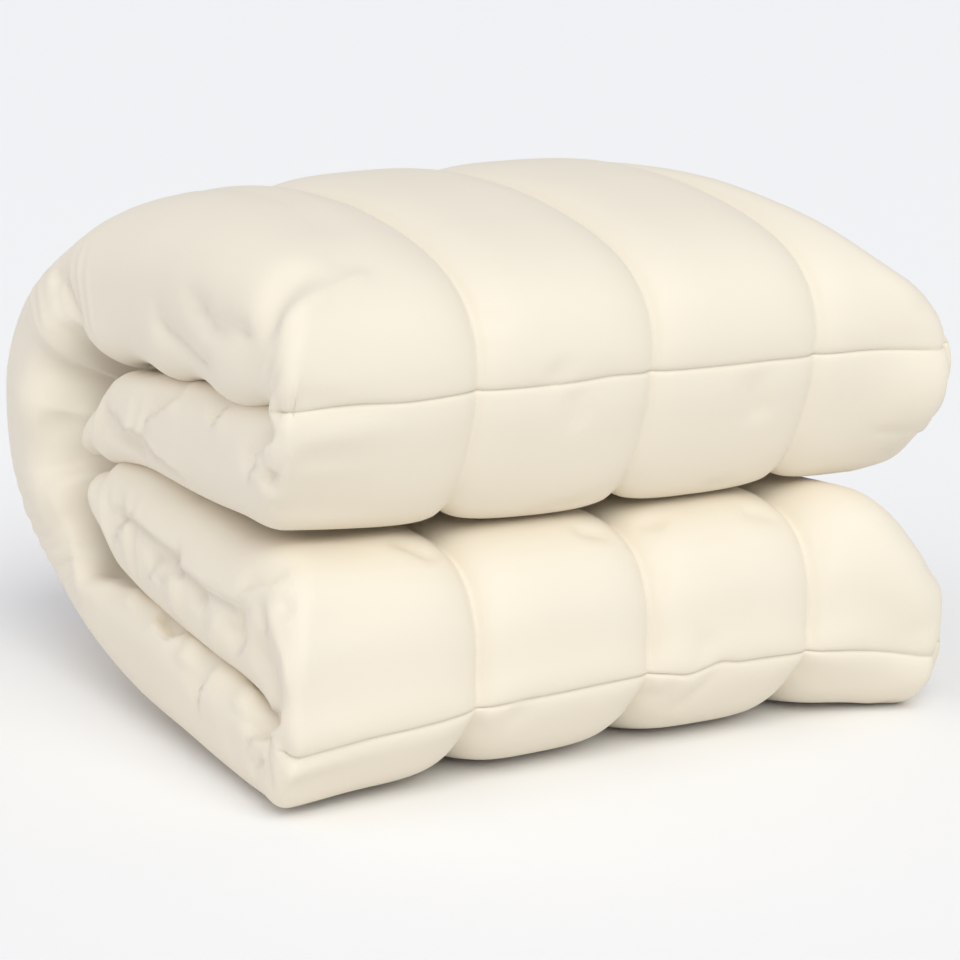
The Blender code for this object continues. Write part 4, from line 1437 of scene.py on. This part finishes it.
# ------------------------------------------------------------------ the blanket
@dataclass
class WeightedBlanket:
    """The quilted blanket, one padded piece."""

    fineness: Fineness = FINE
    ribbon: FoldedRibbon = field(default_factory=FoldedRibbon)
    quilting: Quilting = field(default_factory=Quilting)
    cloth: CottonSateen = field(default_factory=CottonSateen)
    settling: Settling = field(default_factory=Settling)
    stitching: Stitching = field(default_factory=Stitching)

    def stations(self) -> Array:
        """Places along the ribbon of the grid's stations, closer together at the seams."""
        length = self.ribbon.length()
        seams = [float(self.ribbon.distance(row_place(row))) for row in CROSS_SEAMS]
        distance = graded(length, (0.0, length, *seams), self.fineness.seam, self.fineness.along)
        lip = FoldedSurface.end_round * (1 - np.cos(np.linspace(0, np.pi / 2, 5)[1:-1]))
        return self.ribbon.place(np.sort(np.concatenate([distance, lip, length - lip])))

    def swelled(self, surface: FoldedSurface) -> Array:
        """Points of the surface with its swells."""
        points = surface.points()
        return points + self.relief(surface, points, SurfaceMap.swell_relief, SWELLS)

    def relief(self, surface: FoldedSurface, points: Array,
               relief_of: Callable[[SurfaceMap, Swell | Crease], tuple[slice, Array]],
               features: tuple[Swell | Crease, ...]) -> Array:
        """Way that a set of swells or creases moves each point along its normal."""
        places = SurfaceMap(surface, points)
        relief = np.zeros(points.shape[:2])
        for feature in features:
            rows, part = relief_of(places, feature)
            relief[rows] += part
        return outward_normals(points) * relief[..., None]

    def build(self) -> list[bpy.types.Object]:
        """Make the blanket's mesh and its stitches."""
        surface = FoldedSurface(self.ribbon, Outline(self.fineness), self.stations())
        points = self.swelled(surface)
        points = points + self.settling.run(self.swelled, self.ribbon, surface)
        points = points + self.relief(surface, points, SurfaceMap.crease_relief, CREASES)
        points = points + self.quilting.waver(surface, points)
        normals = outward_normals(points)
        points = points + normals * self.quilting.relief(surface, points)[..., None]
        points[..., 2] = np.maximum(points[..., 2], RESTING_Z)
        stations, columns = points.shape[:2]
        faces = grid_faces(stations, columns)
        last = (stations - 1) * columns
        caps = [cap_faces(points[0], 0, 1), cap_faces(points[-1], last, -1)]
        body = mesh_object("quilted_blanket", points.reshape(-1, 3), [faces, *caps])
        self.lay_out_cloth(body, surface, points)
        body.data.materials.append(self.cloth.material())
        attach(body, "root")
        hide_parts(NODE)
        return [body, self.stitching.build(surface, points)]

    def lay_out_cloth(self, body: bpy.types.Object, surface: FoldedSurface, points: Array) -> None:
        """Give the mesh a UV map in metres: u across the cloth, v along it."""
        stations, columns = points.shape[:2]
        middle = points[stations // 3]
        steps = np.linalg.norm(np.roll(middle, -1, axis=0) - middle, axis=-1)
        across = np.concatenate([[0.0], np.cumsum(steps)])
        along = surface.ribbon.distance(surface.place)
        corner = np.empty(len(body.data.loops), dtype=np.int32)
        body.data.loops.foreach_get("vertex_index", corner)
        station, column = corner // columns, corner % columns
        quads = (stations - 1) * columns * 4
        wrapped = np.zeros(len(corner), dtype=bool)
        wrapped[:quads] = (np.arange(quads) // 4 % columns == columns - 1) & (column[:quads] == 0)
        u = across[np.where(wrapped, columns, column)]
        flat = np.stack([u, along[station]], axis=-1).astype(np.float32)
        body.data.uv_layers.new(name="cloth").data.foreach_set("uv", flat.ravel())


# ------------------------------------------------------------------ the studio
def facing(azimuth: float, elevation: float) -> Matrix:
    """Turn that looks at the blanket from an azimuth and elevation in degrees.

    An azimuth of 0 is the front and -90 the left.
    """
    around, up = math.radians(azimuth), math.radians(elevation)
    back = Vector((math.sin(around) * math.cos(up), -math.cos(around) * math.cos(up), math.sin(up)))
    return (-back).to_track_quat("-Z", "Y").to_matrix().to_4x4()


@dataclass(frozen=True)
class SoftLight:
    """A broad soft light from far away.

    azimuth, elevation: where it comes from, in degrees.
    spread: width of the source as seen from the blanket, in degrees.
    power: brightness that it gives a white surface facing it.
    """

    name: str
    azimuth: float
    elevation: float
    spread: float
    power: float
    colour: tuple[float, float, float]

    def build(self) -> None:
        """Add the lamp to the scene."""
        data = bpy.data.lights.new(self.name, "SUN")
        data.angle = math.radians(self.spread)
        data.energy = self.power * math.pi
        data.color = self.colour
        lamp = bpy.data.objects.new(self.name, data)
        lamp.matrix_world = facing(self.azimuth, self.elevation)
        bpy.context.scene.collection.objects.link(lamp)


@dataclass(frozen=True)
class Studio:
    """Pale floor, a broad key from the front, a soft fill from the left, and the camera."""

    lights: tuple[SoftLight, ...] = (
        SoftLight("key", -12.0, 45.0, 45.0, 0.56, (1.0, 1.03, 1.0)),
        SoftLight("fill", -98.0, 34.0, 60.0, 0.14, (1.0, 0.98, 0.96)),
    )
    surround: tuple[float, float, float] = (1.0, 1.02, 1.11)
    surround_strength: float = 0.50
    camera_place: tuple[float, float, float] = (-1.0895, -1.9259, 0.6786)
    camera_azimuth: float = -30.0
    camera_elevation: float = 13.0
    lens: float = 101.25             # on a 36 mm sensor
    floor_size: float = 60.0
    floor_colour: tuple[float, float, float] = (0.92, 0.91, 0.90)
    floor_roughness: float = 0.9
    floor_gap: float = 0.0005        # from the blanket's underside down to it

    def floor(self) -> bpy.types.Object:
        """A plain pale floor under the blanket."""
        reach = self.floor_size / 2
        height = RESTING_Z - self.floor_gap
        corners = np.array([(x * reach, y * reach, height)
                            for x, y in ((-1, -1), (1, -1), (1, 1), (-1, 1))])
        plate = mesh_object("floor", corners, [np.array([[0, 1, 2, 3]])])
        plate.data.materials.append(plain_material("pale_floor", {
            "Base Color": (*self.floor_colour, 1.0), "Roughness": self.floor_roughness}))
        return plate

    def world(self) -> None:
        """A pale surround."""
        world = bpy.data.worlds.new("surround")
        world.use_nodes = True
        background = world.node_tree.nodes["Background"]
        background.inputs["Color"].default_value = (*self.surround, 1.0)
        background.inputs["Strength"].default_value = self.surround_strength
        bpy.context.scene.world = world

    def camera(self) -> None:
        """The camera at the angle from which the blanket was seen."""
        data = bpy.data.cameras.new("camera")
        data.lens = self.lens
        data.sensor_width = 36.0
        data.clip_start = 0.05
        camera = bpy.data.objects.new("camera", data)
        turn = facing(self.camera_azimuth, self.camera_elevation)
        camera.matrix_world = Matrix.Translation(self.camera_place) @ turn
        bpy.context.scene.collection.objects.link(camera)
        bpy.context.scene.camera = camera
        bpy.context.scene.view_settings.view_transform = "Standard"

    def build(self) -> None:
        """Set up the floor, the lights and the camera."""
        self.floor()
        for light in self.lights:
            light.build()
        self.world()
        self.camera()


def main() -> None:
    """Build the blanket and the studio round it."""
    logging.basicConfig(level=logging.INFO, format="%(message)s")
    Studio().build()
    for piece in WeightedBlanket().build():
        LOG.info("%s: %d faces", piece.name, len(piece.data.polygons))


if __name__ == "__main__":
    main()
